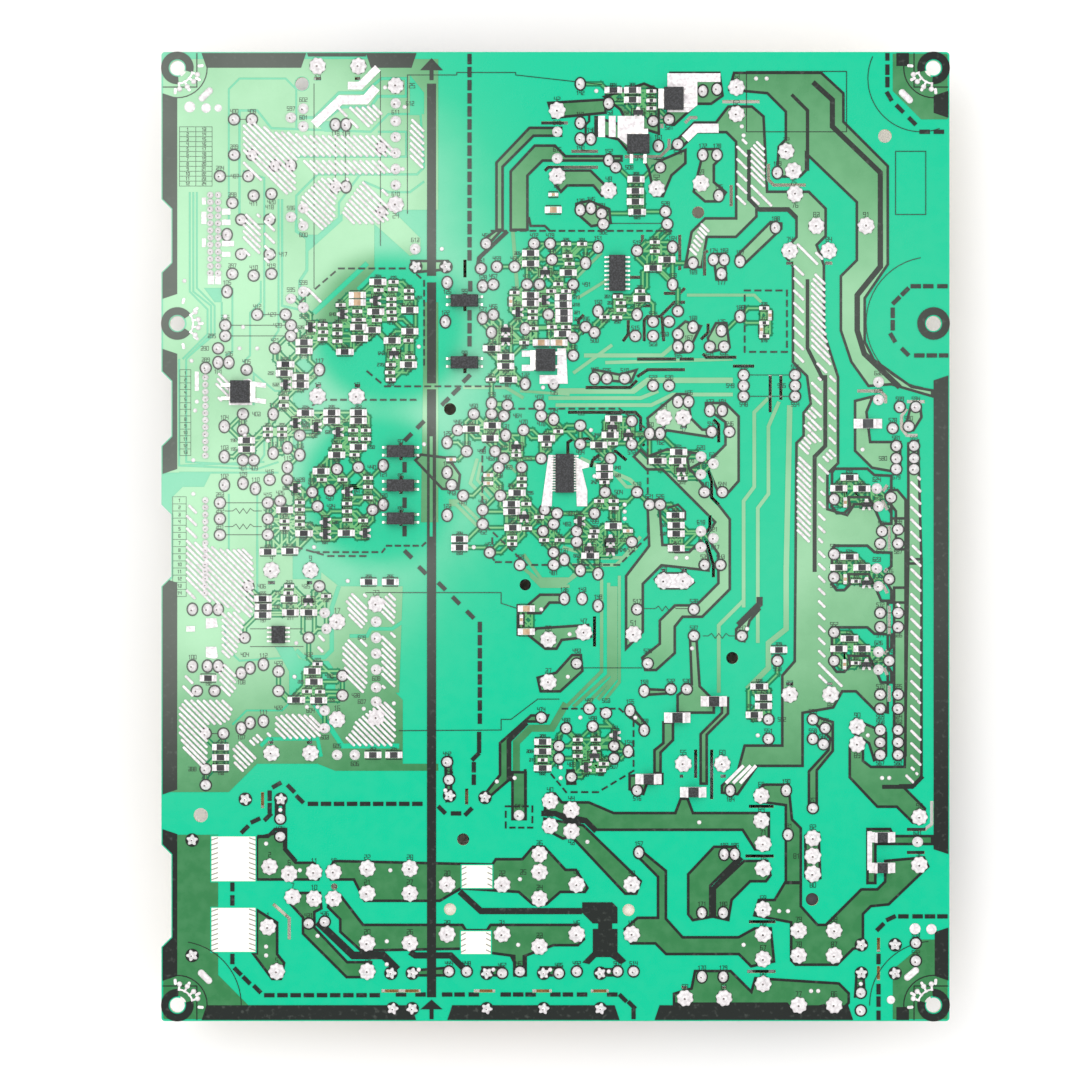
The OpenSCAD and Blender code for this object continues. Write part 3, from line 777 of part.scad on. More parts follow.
module ring_joints() color("#ECE9EA") seated() at(ring_joints) cone_joint(1.35, joint_h);
module plain_joints() color("#ECE9EA") seated() at(plain_joints) cone_joint(1.6, joint_h);
module oval_joints() color("#ECE9EA") seated() at(oval_joints) {
    for (s = [-0.35, 0.35]) translate([0, s, 0]) cylinder(d = 2.5, h = 0.3);
    translate([0, 0, 0.3]) cone_joint(1.15, joint_h - 0.2);
}
module eyelet(d) {
    linear_extrude(0.4) polygon(star(6, d * 0.36, d * 0.5));
    translate([0, 0, 0.4]) cone_joint(d * 0.3, eyelet_h - 0.4, pin_d);
}
module eyelet_joints() color("#ECE9EA") seated() {
    at(eyelets) eyelet(4.9);
    at(large_eyelets) eyelet(5.4);
}
module star_joints() color("#ECE9EA") seated() at(star_joints) {
    linear_extrude(0.3) polygon(star(5, 1, 1.7));
    translate([0, 0, 0.3]) cone_joint(0.9, joint_h - 0.3);
}
module header_joints() color("#ECE9EA") seated() at(header_pins) cylinder(r1 = 0.85, r2 = 0.3, h = joint_h);

// ---- Small parts on the solder side ----

// Size of a chip's body, and how far its solder reaches past each end
chip_1206 = [3.2, 1.6, 0.55];
chip_0603 = [1.6, 0.8, 0.45];
diode_body = [3.4, 1.5, 1.1];
sense_body = [4.4, 2.5, 0.7];
power_diode_body = [4.2, 2.7, 2];
fillet = 0.8;
solder_t = 0.2;
sot_body = [2.9, 1.3, 1];

module upright(places) at(places) rotate([0, 0, 90]) children();

// Body of a chip on its solder
module chip(size) seated() translate([0, 0, solder_t]) block(size.x, size.y, size.z);

// Solder of a chip: its two lands, which meet under the body
module chip_ends(size, reach = fillet) seated()
    translate([0, size.y / 2 + 0.1, 0]) rotate([90, 0, 0]) linear_extrude(size.y + 0.2) polygon([
        [-size.x / 2 - reach, 0], [size.x / 2 + reach, 0], [size.x / 2, solder_t], [-size.x / 2, solder_t]
    ]);

// Solder of a three-lead transistor: two lands on one side and one on the other, joined below it
module sot_ends() seated() linear_extrude(solder_t) polygon([
    [-1.3, -1.6], [-0.6, -1.6], [0, 0], [0.6, -1.6], [1.3, -1.6], [0.4, 1.6], [-0.4, 1.6]
]);

module chip_resistors() color("#2B2D2E") {
    at(resistors_1206) chip(chip_1206);
    at(resistors_0603) chip(chip_0603);
}
module chip_capacitors() color("#B99A78") {
    at(capacitors_1206) chip(chip_1206);
    at(capacitors_0603) chip(chip_0603);
    upright(capacitors_0603_up) chip(chip_0603);
}
module chip_diodes() color("#1D1F22") at(small_diodes) chip(diode_body);
module small_transistors() color("#1D1F22") {
    at(transistors) chip(sot_body);
    upright(transistors_up) chip(sot_body);
}
module sense_resistor() color("#2B2D2E") at(shunts) chip(sense_body);
module power_diodes() color("#1D1F22") at(rectifiers) chip(power_diode_body);
module chip_solder() color("#ECE9EA") {
    at(resistors_1206) chip_ends(chip_1206);
    at(resistors_0603) chip_ends(chip_0603, 0.6);
    at(capacitors_1206) chip_ends(chip_1206);
    at(capacitors_0603) chip_ends(chip_0603, 0.6);
    upright(capacitors_0603_up) chip_ends(chip_0603, 0.6);
    at(small_diodes) chip_ends(diode_body);
    at(transistors) sot_ends();
    upright(transistors_up) sot_ends();
    at(shunts) chip_ends(sense_body, 1.8);
    at(rectifiers) chip_ends(power_diode_body, 1.6);
}

// Packages with rows of leads along both long sides, which run along Y:
// place, body across and along, height, number of leads a side, their pitch and their width
controller = [[2.6, 17.8], 5.2, 10.9, 1.6, 14, 0.75, 0.4];
sixteen_pin = [[17.4, 74.2], 4.6, 10.1, 1.6, 8, 1.27, 0.5];
eight_pin = [[-78, -27.6], 3.9, 4.9, 1.5, 4, 1.27, 0.5];
opto = [[0, 0], 7.8, 3.4, 2.6, 2, 2.2, 0.7];
opto_at = [[-25.6, 66.4], [-25.6, 49], [-43.6, 24], [-43.6, 14.4], [-43.6, 5.1]];
lead_reach = 1.3;

// Moulded body with sloped flanks
module moulded(w, l, h) rotate([90, 0, 0]) translate([0, 0, -l / 2]) linear_extrude(l)
    polygon([[-w / 2 + 0.15, 0], [w / 2 - 0.15, 0], [w / 2, h * 0.5], [w / 2 - 0.25, h],
             [-w / 2 + 0.25, h], [-w / 2, h * 0.5]]);
module package(p) seated() translate([p[0].x, p[0].y, 0]) moulded(p[1], p[2], p[3]);

// Gull-wing leads that end at the body's flank
module package_leads(p) seated() translate([p[0].x, p[0].y, 0])
    for (s = [0, 180], i = [0 : p[4] - 1])
        rotate([0, 0, s]) translate([0, (i - (p[4] - 1) / 2) * p[5] + p[6] / 2, 0])
            rotate([90, 0, 0]) linear_extrude(p[6]) polygon([
                [p[1] / 2, 0.35 * p[3]], [p[1] / 2 + 0.5, 0], [p[1] / 2 + lead_reach, 0],
                [p[1] / 2 + lead_reach, 0.25], [p[1] / 2 + 0.8, 0.25], [p[1] / 2, 0.55 * p[3]]
            ]);

// Surface-mounted power packages: place, turn
dpak_body = [5.6, 6.3, 2.3];
dpaks = [[33.3, 123.3, 90], [23.3, 110.5, 0], [-88.8, 40.8, -90], [-2.8, 49.7, 90]];
module dpak_ends() {
    for (x = [-1.9, 1.9]) translate([x, -dpak_body.x / 2 - 1.3, 0]) block(0.9, 2.6, 0.5);
    translate([0, dpak_body.x / 2 + 0.75, 0]) block(dpak_body.y - 0.8, 1.5, 0.6);
}

module controller_ic() color("#1D1F22") package(controller);
module sixteen_pin_ic() color("#1D1F22") package(sixteen_pin);
module eight_pin_ic() color("#1D1F22") package(eight_pin);
module optocouplers() color("#1D1F22") at(opto_at) package(opto);
module power_transistors() color("#1D1F22") seated() for (d = dpaks)
    translate([d.x, d.y, 0]) rotate([0, 0, d.z + 90])
        moulded(dpak_body.x, dpak_body.y, dpak_body.z);
module ic_leads() color("#D8D6D4") {
    package_leads(controller);
    package_leads(sixteen_pin);
    package_leads(eight_pin);
    at(opto_at) package_leads(opto);
    seated() for (d = dpaks) translate([d.x, d.y, 0]) rotate([0, 0, d.z]) dpak_ends();
}

// ---- Leads and wires ----

module through(places, d) at(places) translate([0, 0, -board_t]) cylinder(d = d, h = board_t);
module component_leads() color("#CFCBC6") {
    through(all_small_joints, lead_d);
    through(header_pins, lead_d);
    through(all_eyelets, pin_d);
}

wire_d = 0.6;
jumpers = [
    [-90.5, 117.5, -85.5, 117.5], [-94.5, 101.5, -86.5, 101.5], [-88.5, 88, -80.5, 88],
    [-84, 62.5, -76, 62.5], [-93, 59.5, -74.5, 59.5], [-93, 56.5, -74.5, 56.5], [-94.5, 9.5, -81, 9.5],
    [-94.5, 0.5, -81, 0.5], [-87.5, -26, -69.5, -26], [-87.5, -31, -69.5, -31],
    [-98.5, -55.5, -93.5, -55.5], [53, 45.5, 67.5, 45.5], [53, 39.5, 67.5, 39.5], [26, -37, 6, -37],
    [91.5, -21.5, 96.5, -21.5], [91.5, -25.5, 96.5, -25.5]
];
module jumper_wires() color("#CFCBC6") for (j = jumpers) let (
    run = [j[2] - j[0], j[3] - j[1]]
) back(j[0], j[1]) rotate([0, 0, -atan2(-run.y, run.x)]) translate([0, 0, wire_d / 2])
    rotate([0, 90, 0]) cylinder(d = wire_d, h = norm(run), $fn = 16);

// ---- Heatsinks ----

// Tab pins of each heatsink: first and last x, first and last y
output_tabs = [-67, -55.5, 39.3, 132.5];
standby_tabs = [-80, -69, -61, -9.3];
bus_tabs = [66, 77, -44.7, 80.3];
input_tabs = [35.9, 47.3, -130.1, -64];
driver_tabs = [30.5, 36, -12.7, 33.5];
fin_pitch = 3.4;
web_t = 2;
sink_end = 1.5;

module sink_profile(w) {
    for (s = [-1, 1]) translate([s * w / 2 - sink_t / 2, foot_gap])
        square([sink_t, tall_h - foot_gap]);
    translate([-w / 2, web_z]) square([w, web_t]);
    let (n = max(1, round(w / fin_pitch) - 1)) for (i = [1 : n])
        translate([-w / 2 + i * w / (n + 1) - sink_t / 3, web_z])
            square([2 * sink_t / 3, tall_h - web_z]);
}

module heatsink(t) color("#B9BCBE") back((t[0] + t[1]) / 2, (t[2] + t[3]) / 2) {
    w = t[1] - t[0];
    l = t[3] - t[2];
    rotate([90, 0, 0]) translate([0, 0, -l / 2 - sink_end]) linear_extrude(l + 2 * sink_end)
        sink_profile(w);
    for (x = [-w / 2, w / 2], y = [-l / 2, l / 2]) translate([x, y, 0])
        cylinder(d = pin_d, h = foot_gap + 1);
}

module output_heatsink() difference() {
    heatsink(output_tabs);
    screw_holes(output_devices);
}
module standby_heatsink() heatsink(standby_tabs);
module bus_heatsink() heatsink(bus_tabs);
module input_heatsink() difference() {
    heatsink(input_tabs);
    screw_holes(input_devices);
}
module driver_heatsink() heatsink(driver_tabs);

// Power packages that lie flat under a heatsink's web: place of the middle lead, x of the leads
output_devices = [[-60.6, 116.1, [-1.4, 1.4]], [-60.6, 98.3, [-1.4, 1.4]]];
input_devices = [[42.7, -106.2, [-2.8, 0, 3.2]], [42.7, -124.2, [-2.8, 0, 3.2]]];
device = [9.6, 9, 4.4];
device_tab = [9.6, 6, 1.3];
device_run = 2.5;
device_lead_z = web_z - 2.6;
screw_d = 3;
screw_y = device_run + device.y + 3;
screw_fit = 0.1;

module screw_holes(devices) for (d = devices) back(d.x, d.y) translate([0, screw_y, web_z - 1])
    cylinder(d = screw_d + 2 * screw_fit, h = web_t + 2);
module device(d) difference() {
    union() {
        translate([0, device_run + device.y / 2, web_z - device.z]) block(device.x, device.y, device.z);
        translate([0, device_run + device.y + device_tab.y / 2 - 0.5, web_z - device_tab.z])
            block(device_tab.x, device_tab.y + 1, device_tab.z);
        for (x = d[2]) translate([x, 0, 0]) {
            block(0.8, 0.6, device_lead_z + 0.5);
            translate([0, device_run / 2, device_lead_z]) block(0.8, device_run + 0.2, 0.5);
        }
    }
    translate([0, screw_y, web_z - device_tab.z - 1])
        cylinder(d = screw_d + 2 * screw_fit, h = device_tab.z + 2);
}
module power_packages() color("#26282A") for (d = concat(output_devices, input_devices))
    back(d.x, d.y) device(d);
module heatsink_screws() color("#C8C8C6") for (d = concat(output_devices, input_devices))
    back(d.x, d.y) translate([0, screw_y, web_z - device_tab.z]) {
        cylinder(d = screw_d, h = device_tab.z + web_t);
        translate([0, 0, -2]) difference() {
            cylinder(d = 5.6, h = 2);
            translate([0, 0, -1]) block(0.8, 4, 1.8);
            translate([0, 0, -1]) block(4, 0.8, 1.8);
        }
    }

// Four-lead bridge rectifiers that stand on their leads: x, y of the first lead, pitch
bridges = [[58.4, -93.5, 7], [58.5, -126, 7]];
bridge_body = [3.6, 23.5, 18];
bridge_z = 4;
module bridge_rectifiers() color("#26282A") for (b = bridges)
    back(b.x, b.y + 1.5 * b.z) {
        difference() {
            translate([0, 0, bridge_z]) block(bridge_body.x, bridge_body.y, bridge_body.z);
            translate([-5, 0, bridge_z + bridge_body.z / 2]) rotate([0, 90, 0])
                cylinder(d = 3.4, h = 10);
        }
        for (i = [-1.5 : 1.5]) translate([0, i * b.z, 0]) block(0.8, 1.2, bridge_z + 0.5);
    }

// ---- Wound parts ----

// Each wound part: its middle, the distance between its two pin rows, the pins of each row
transformers = [
    [[-22.25, 110.2], 45.4, [[-22.6, 126.8], [-22.6, 121.8], [-22.6, 93.6]]],
    [[-26.4, -35.2], 48.4, []]
];
choke = [[87.4, -86], 30, []];
core_y = 6;
yoke = 6;
rail_w = 4;
rail_h = 4.5;
rail_l = 36;
flange_t = 1.2;
coil_z = 13;

// Lengths along X that follow from the distance between the pin rows
function core_half(row) = row / 2 - rail_w / 2;
function coil_half(row) = core_half(row) - yoke - coil_fit;

module wound_core(row) translate([0, 0, coil_z - leg / 2]) {
    outer_y = coil_w / 2 + 1 + core_y;
    for (s = [0, 180]) rotate([0, 0, s]) {
        translate([core_half(row) - yoke / 2, 0, 0]) block(yoke, 2 * outer_y, leg);
        translate([0, outer_y - core_y / 2, 0]) block(2 * core_half(row) - yoke, core_y, leg);
    }
    block(2 * core_half(row) - yoke, leg, leg);
}

tube_in = leg + 2 * coil_fit;
tube_out = tube_in + 2;
module square_tube(l, outside, inside) rotate([0, 90, 0]) translate([0, 0, -l / 2])
    linear_extrude(l) difference() {
        square(outside, center = true);
        square(inside, center = true);
    }
module bobbin(row) {
    half = coil_half(row);
    flange_y = coil_w + 1;
    translate([0, 0, coil_z]) {
        square_tube(2 * half, tube_out, tube_in);
        for (s = [-1, 1]) translate([s * (half - flange_t / 2), 0, 0])
            square_tube(flange_t, min(flange_y, 2 * (tall_h - coil_z)), tube_in);
    }
    for (s = [-1, 1]) {
        translate([s * (half + (row / 2 + rail_w / 2 - half) / 2 - flange_t / 2), 0, 0])
            block(row / 2 + rail_w / 2 - half + flange_t, rail_l, rail_h);
        translate([s * (half - flange_t / 2), 0, 0]) block(flange_t, flange_y, coil_z - tube_out / 2);
    }
}
module winding(row) translate([0, 0, coil_z]) {
    l = 2 * (coil_half(row) - flange_t - coil_fit);
    rotate([0, 90, 0]) translate([0, 0, -l / 2]) linear_extrude(l) difference() {
        offset(r = 3, $fn = 24) square(min(coil_w, 2 * (tall_h - coil_z)) - 8, center = true);
        square(tube_out + 2 * coil_fit, center = true);
    }
}

module transformer_cores() color("#3A3A3C") for (t = transformers) back(t[0].x, t[0].y) wound_core(t[1]);
module transformer_bobbins() color("#2E2E30") for (t = transformers) back(t[0].x, t[0].y) bobbin(t[1]);
module transformer_windings() color("#E4B93C") for (t = transformers) back(t[0].x, t[0].y) winding(t[1]);
module choke_core() color("#3A3A3C") back(choke[0].x, choke[0].y) wound_core(choke[1]);
module choke_bobbin() color("#2E2E30") back(choke[0].x, choke[0].y) bobbin(choke[1]);
module choke_winding() color("#C77A3A") back(choke[0].x, choke[0].y) winding(choke[1]);

// Mains filters: a closed square core with a coil on each of two legs
filters = [[-22.8, -105], [13.8, -105]];
filter_base = [20, 20, 2];
filter_core = [20, 24, 5];
filter_z = 11;
filter_coil_d = 9;
filter_coil_x = 6.5;
module filter_bases() color("#EDEDEA") for (f = filters) back(f.x, f.y) {
    block(filter_base.x, filter_base.y, filter_base.z);
    for (s = [-1, 1]) translate([0, s * (filter_base.y / 2 - 1), 0])
        block(6, 1.6, filter_z - filter_core.z / 2);
}
module filter_cores() color("#3A3A3C") for (f = filters) back(f.x, f.y)
    translate([0, 0, filter_z - filter_core.z / 2]) difference() {
        block(filter_core.x, filter_core.y, filter_core.z);
        translate([0, 0, -1]) block(2 * (filter_coil_x - 2.5), filter_core.y - 10, filter_core.z + 2);
    }
module filter_windings() color("#C77A3A") for (f = filters, s = [-1, 1]) back(f.x, f.y)
    translate([s * filter_coil_x, 0, filter_z]) rotate([90, 0, 0])
        translate([0, 0, -6]) difference() {
            cylinder(d = filter_coil_d + 4, h = 12);
            translate([0, 0, -1]) block(7.2 + coil_fit, filter_core.z + coil_fit, 14);
        }

// ---- Capacitors ----

// Round can with a rolled groove near its foot
module can(d, h) rotate_extrude() polygon([
    [0, 0], [d / 2 - 0.3, 0], [d / 2, 0.3], [d / 2, 1.5], [d / 2 - 0.4, 1.9], [d / 2, 2.3],
    [d / 2, h - 0.5], [d / 2 - 0.5, h], [0, h]
]);
bulk_d = 22;
bulk_l = 23;
bulk_leads = [73.4, -132];
module bulk_capacitor() color("#2C2F36") back(bulk_leads.x, bulk_leads.y) {
    translate([0, 2.5, bulk_d / 2]) rotate([-90, 0, 0]) can(bulk_d, bulk_l);
    for (x = [-5.1, 5.1]) translate([x, 0, 0]) {
        block(1, 1, bulk_d / 2 + 0.5);
        translate([0, 1.3, bulk_d / 2 - 0.5]) block(1, 2.6, 1);
    }
}
output_cans = [[-72.8, 118], [-72.8, 90], [-72.8, 66.8], [-63.9, -23.8], [-63.9, -51.4], [-59, -61.4]];
output_can = [8, 20];
module output_capacitors() color("#2C2F36") for (c = output_cans)
    back(c.x, c.y) can(output_can[0], output_can[1]);
small_cans = [
    [-93.3, 31.2], [-93.3, 22.5], [-93.3, 14.7], [38.9, 59], [46.7, 58.2], [38.8, 77], [46, 78],
    [35.9, 38.5], [35.9, 53.6], [8.5, 112.1], [43.7, 125.7], [43.6, 107.5]
];
small_can = [5, 11];
module small_capacitors() color("#2C2F36") for (c = small_cans)
    back(c.x, c.y) can(small_can[0], small_can[1]);

// Boxed film capacitors across the mains, along Y
x_boxes = [[-53.2, -107.5], [-41.2, -107.5], [-4.6, -108.8]];
x_box = [8.5, 18, 15];
module x_capacitors() color("#D9B23C") for (c = x_boxes)
    back(c.x, c.y) difference() {
        block(x_box.x, x_box.y, x_box.z);
        translate([0, 0, -0.1]) block(x_box.x - 2, x_box.y - 2, 0.7);
    }

// Disc capacitors between the mains and the other side: middle and turn
discs = [
    [-46.3, -128, 90], [-40.6, -128, 90], [-19.6, -128, 90], [-3.6, -128, 90], [12.6, -128, 90],
    [90.8, -114.9, 0], [90.8, -123.2, 0], [-35.2, 75.8, 0], [-82.5, -74.1, 0], [-25, -73.3, 0]
];
disc_d = 11;
disc_t = 3.6;
disc_z = 7;
disc_pitch = 10;
module y_capacitors() color("#2F6FB5") for (c = discs) back(c.x, c.y, c.z) {
    translate([0, 0, disc_z]) rotate([90, 0, 0]) cylinder(d = disc_d, h = disc_t, center = true);
    for (s = [-1, 1]) translate([s * disc_pitch / 2, 0, 0]) cylinder(d = lead_d, h = disc_z);
}

// ---- Relay, fuse and headers ----

relay_at = [8.2, -74.8];
relay_body = [22.5, 19, 15.5];
module relay() color("#2F6FB5") back(relay_at.x, relay_at.y) {
    block(relay_body.x, relay_body.y, relay_body.z - 1);
    translate([0, 0, relay_body.z - 1]) block(relay_body.x - 1, relay_body.y - 1, 1);
}

fuse_ends = [-78.5, -53.1];
fuse_y = -122.4;
fuse_d = 5.2;
fuse_z = 6;
clip_w = 6;
module fuse() color("#DCE6E4") back((fuse_ends[0] + fuse_ends[1]) / 2, fuse_y)
    translate([0, 0, fuse_z]) rotate([0, 90, 0]) union() {
        cylinder(d = fuse_d - 0.4, h = 20, center = true);
        for (s = [-1, 1]) translate([0, 0, s * 8]) cylinder(d = fuse_d, h = 5, center = true);
    }
module fuse_clips() color("#CFCBC6") for (s = [-1, 1])
    back((fuse_ends[0] + fuse_ends[1]) / 2 + s * 8.5, fuse_y) difference() {
        union() {
            block(clip_w, fuse_d + 1.6, fuse_z + 2);
            translate([s * 3.9, 0, 0]) block(3, 1.6, 1);
        }
        translate([0, 0, fuse_z]) rotate([0, 90, 0])
            cylinder(d = fuse_d + 2 * coil_fit, h = 20, center = true);
        translate([0, 0, 1]) block(20, fuse_d - 1.4, fuse_z);
        translate([0, 0, fuse_z]) block(20, fuse_d - 1.8, 8);
    }

// Pin headers: a base bar, with a latch wall along one side
inlet_pins = [[-80.6, -93.2], [-80.6, -109.8]];
inlet_body = [9, 25, 11];
base_h = 3;
latch_t = 1.2;
module header(x, y, size) back(x, y) {
    block(size.x, size.y, base_h);
    translate([latch_t / 2 - size.x / 2, 0, 0]) block(latch_t, size.y, size.z);
}
module inlet_header() color("#EDEDEA")
    header(inlet_pins[0].x, (inlet_pins[0].y + inlet_pins[1].y) / 2, inlet_body);
headers = [[-96.1, 85.2, [7.2, 27, 9]], [-98.6, 34.8, [5.6, 28, 7]], [-98.6, -2.8, [5.6, 30, 7]]];
pin_h = 5;
module board_headers() color("#EDEDEA") for (h = headers) header(h[0], h[1], h[2]);
module pins(places, d) at(places) translate([0, 0, -board_t - base_h - pin_h])
    cylinder(d = d, h = pin_h, $fn = 16);
module header_pins() color("#CFCBC6") {
    pins(header_pins, 0.6);
    pins(inlet_pins, 1.6);
}

board();
copper_foil();
printed_lines();
printed_discs();
tinned_tracks();
solder_stripes();
hole_contacts();
eyelet_joints();
ring_joints();
oval_joints();
plain_joints();
star_joints();
header_joints();
chip_solder();
chip_resistors();
chip_capacitors();
chip_diodes();
small_transistors();
sense_resistor();
power_diodes();
power_transistors();
optocouplers();
controller_ic();
sixteen_pin_ic();
eight_pin_ic();
ic_leads();
component_leads();
jumper_wires();
output_heatsink();
standby_heatsink();
bus_heatsink();
input_heatsink();
driver_heatsink();
power_packages();
heatsink_screws();
bridge_rectifiers();
transformer_cores();
transformer_bobbins();
transformer_windings();
choke_core();
choke_bobbin();
choke_winding();
filter_cores();
filter_windings();
filter_bases();
bulk_capacitor();
output_capacitors();
small_capacitors();
x_capacitors();
y_capacitors();
relay();
fuse();
fuse_clips();
inlet_header();
board_headers();
header_pins();
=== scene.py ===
import itertools
import math
import random

import bmesh
import bpy
import numpy as np
from mathutils import Matrix, Vector, noise


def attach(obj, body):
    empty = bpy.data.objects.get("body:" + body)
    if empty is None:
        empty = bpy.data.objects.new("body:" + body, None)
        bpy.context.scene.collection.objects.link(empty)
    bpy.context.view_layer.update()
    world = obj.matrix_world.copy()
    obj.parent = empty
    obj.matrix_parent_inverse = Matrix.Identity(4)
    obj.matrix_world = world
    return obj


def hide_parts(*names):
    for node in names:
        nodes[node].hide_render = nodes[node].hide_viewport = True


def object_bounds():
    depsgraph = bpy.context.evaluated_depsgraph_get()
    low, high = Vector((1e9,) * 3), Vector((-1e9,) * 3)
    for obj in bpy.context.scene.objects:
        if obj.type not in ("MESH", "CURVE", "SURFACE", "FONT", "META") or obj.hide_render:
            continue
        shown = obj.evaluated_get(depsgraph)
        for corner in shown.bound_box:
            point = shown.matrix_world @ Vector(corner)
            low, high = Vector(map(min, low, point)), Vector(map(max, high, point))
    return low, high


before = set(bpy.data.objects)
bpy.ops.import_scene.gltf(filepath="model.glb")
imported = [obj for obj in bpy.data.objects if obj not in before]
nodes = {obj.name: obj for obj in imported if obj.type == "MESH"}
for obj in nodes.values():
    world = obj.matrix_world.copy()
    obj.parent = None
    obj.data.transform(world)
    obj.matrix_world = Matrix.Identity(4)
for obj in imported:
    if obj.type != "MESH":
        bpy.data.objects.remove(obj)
size_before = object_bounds()

# ---- Laminate and solder mask ---------------------------------------------------------------
# A paper-epoxy laminate, punched and milled, with green solder mask screened over its foil side.
# The mask is glossy emerald on bare laminate. The pale haze at the upper left and the right stands
# in for light that its gloss would catch, and is painted into the colour.


def linear(code):
    """sRGB hex code as a linear RGBA colour."""
    parts = [int(code[i:i + 2], 16) / 255 for i in (0, 2, 4)]
    return [c / 12.92 if c <= 0.04045 else ((c + 0.055) / 1.055) ** 2.4 for c in parts] + [1.0]


def add(tree, kind, inputs=None, **settings):
    """Adds a node with its settings; each input takes a value or another node's output."""
    node = tree.nodes.new(kind)
    for key, value in settings.items():
        setattr(node, key, value)
    for key, value in (inputs or {}).items():
        if isinstance(value, bpy.types.NodeSocket):
            tree.links.new(value, node.inputs[key])
        else:
            node.inputs[key].default_value = value
    return node


def blank(name):
    """A new material with its tree, object coordinates, shader and output."""
    made = bpy.data.materials.new(name)
    made.use_nodes = True
    tree = made.node_tree
    tree.nodes.clear()
    place = add(tree, "ShaderNodeTexCoord")
    shader = add(tree, "ShaderNodeBsdfPrincipled")
    add(tree, "ShaderNodeOutputMaterial", {"Surface": shader.outputs["BSDF"]})
    return made, tree, place, shader


def haze(tree, place, side=0.35):
    """How strongly the painted sheen of light shows: 1 at the upper left, side at the right, 0 beyond
    them.
    """
    near = add(tree, "ShaderNodeVectorMath",
               {0: place.outputs["Object"], 1: (-0.11, 0.05, 0.0)}, operation="DISTANCE")
    wide = add(tree, "ShaderNodeMapRange",
               {"Value": near.outputs["Value"], "From Min": 0.14, "From Max": 0.07},
               interpolation_type="SMOOTHSTEP")
    band = add(tree, "ShaderNodeVectorMath",
               {0: place.outputs["Object"], 1: (0.06, 0.03, 0.0)}, operation="DISTANCE")
    spot = add(tree, "ShaderNodeMapRange",
               {"Value": band.outputs["Value"], "From Min": 0.125, "From Max": 0.04,
                "To Max": side}, interpolation_type="SMOOTHSTEP")
    cloud = add(tree, "ShaderNodeTexNoise",
                {"Vector": place.outputs["Object"], "Scale": 24.0, "Detail": 5.0})
    both = add(tree, "ShaderNodeMath", {0: wide.outputs["Result"], 1: spot.outputs["Result"]},
               operation="MAXIMUM")
    loose = add(tree, "ShaderNodeMapRange",
                {"Value": cloud.outputs["Fac"], "From Min": 0.3, "From Max": 0.7, "To Min": 0.75},
                interpolation_type="SMOOTHSTEP")
    left = add(tree, "ShaderNodeMath", {0: both.outputs[0], 1: loose.outputs["Result"]},
               operation="MULTIPLY").outputs[0]
    # The painted sheen of light is thinned over the two fields of small parts on the left,
    # whose mask shows its deep colour.
    for field in ((-0.047, 0.058, 0.0), (-0.05, 0.014, 0.0)):
        apart = add(tree, "ShaderNodeVectorMath",
                    {0: place.outputs["Object"], 1: field}, operation="DISTANCE")
        thinned = add(tree, "ShaderNodeMapRange",
                      {"Value": apart.outputs["Value"], "From Min": 0.015, "From Max": 0.027,
                       "To Min": 0.3}, interpolation_type="SMOOTHSTEP")
        left = add(tree, "ShaderNodeMath", {0: left, 1: thinned.outputs["Result"]},
                   operation="MULTIPLY").outputs[0]
    return left


def flux_relief(tree, place, strength):
    """Fine wrinkles of dried flux and the weave of the laminate under the mask."""
    wrinkle = add(tree, "ShaderNodeTexNoise",
                  {"Vector": place.outputs["Object"], "Scale": 900.0, "Detail": 4.0,
                   "Distortion": 1.2})
    patch = add(tree, "ShaderNodeTexNoise",
                {"Vector": place.outputs["Object"], "Scale": 38.0, "Detail": 3.0})
    where = add(tree, "ShaderNodeMapRange",
                {"Value": patch.outputs["Fac"], "From Min": 0.48, "From Max": 0.62,
                 "To Min": 0.15}, interpolation_type="SMOOTHSTEP")
    height = add(tree, "ShaderNodeMath",
                 {0: wrinkle.outputs["Fac"], 1: where.outputs["Result"]}, operation="MULTIPLY")
    return add(tree, "ShaderNodeBump", {"Height": height.outputs[0], "Strength": strength,
                                        "Distance": 0.0002}).outputs["Normal"]


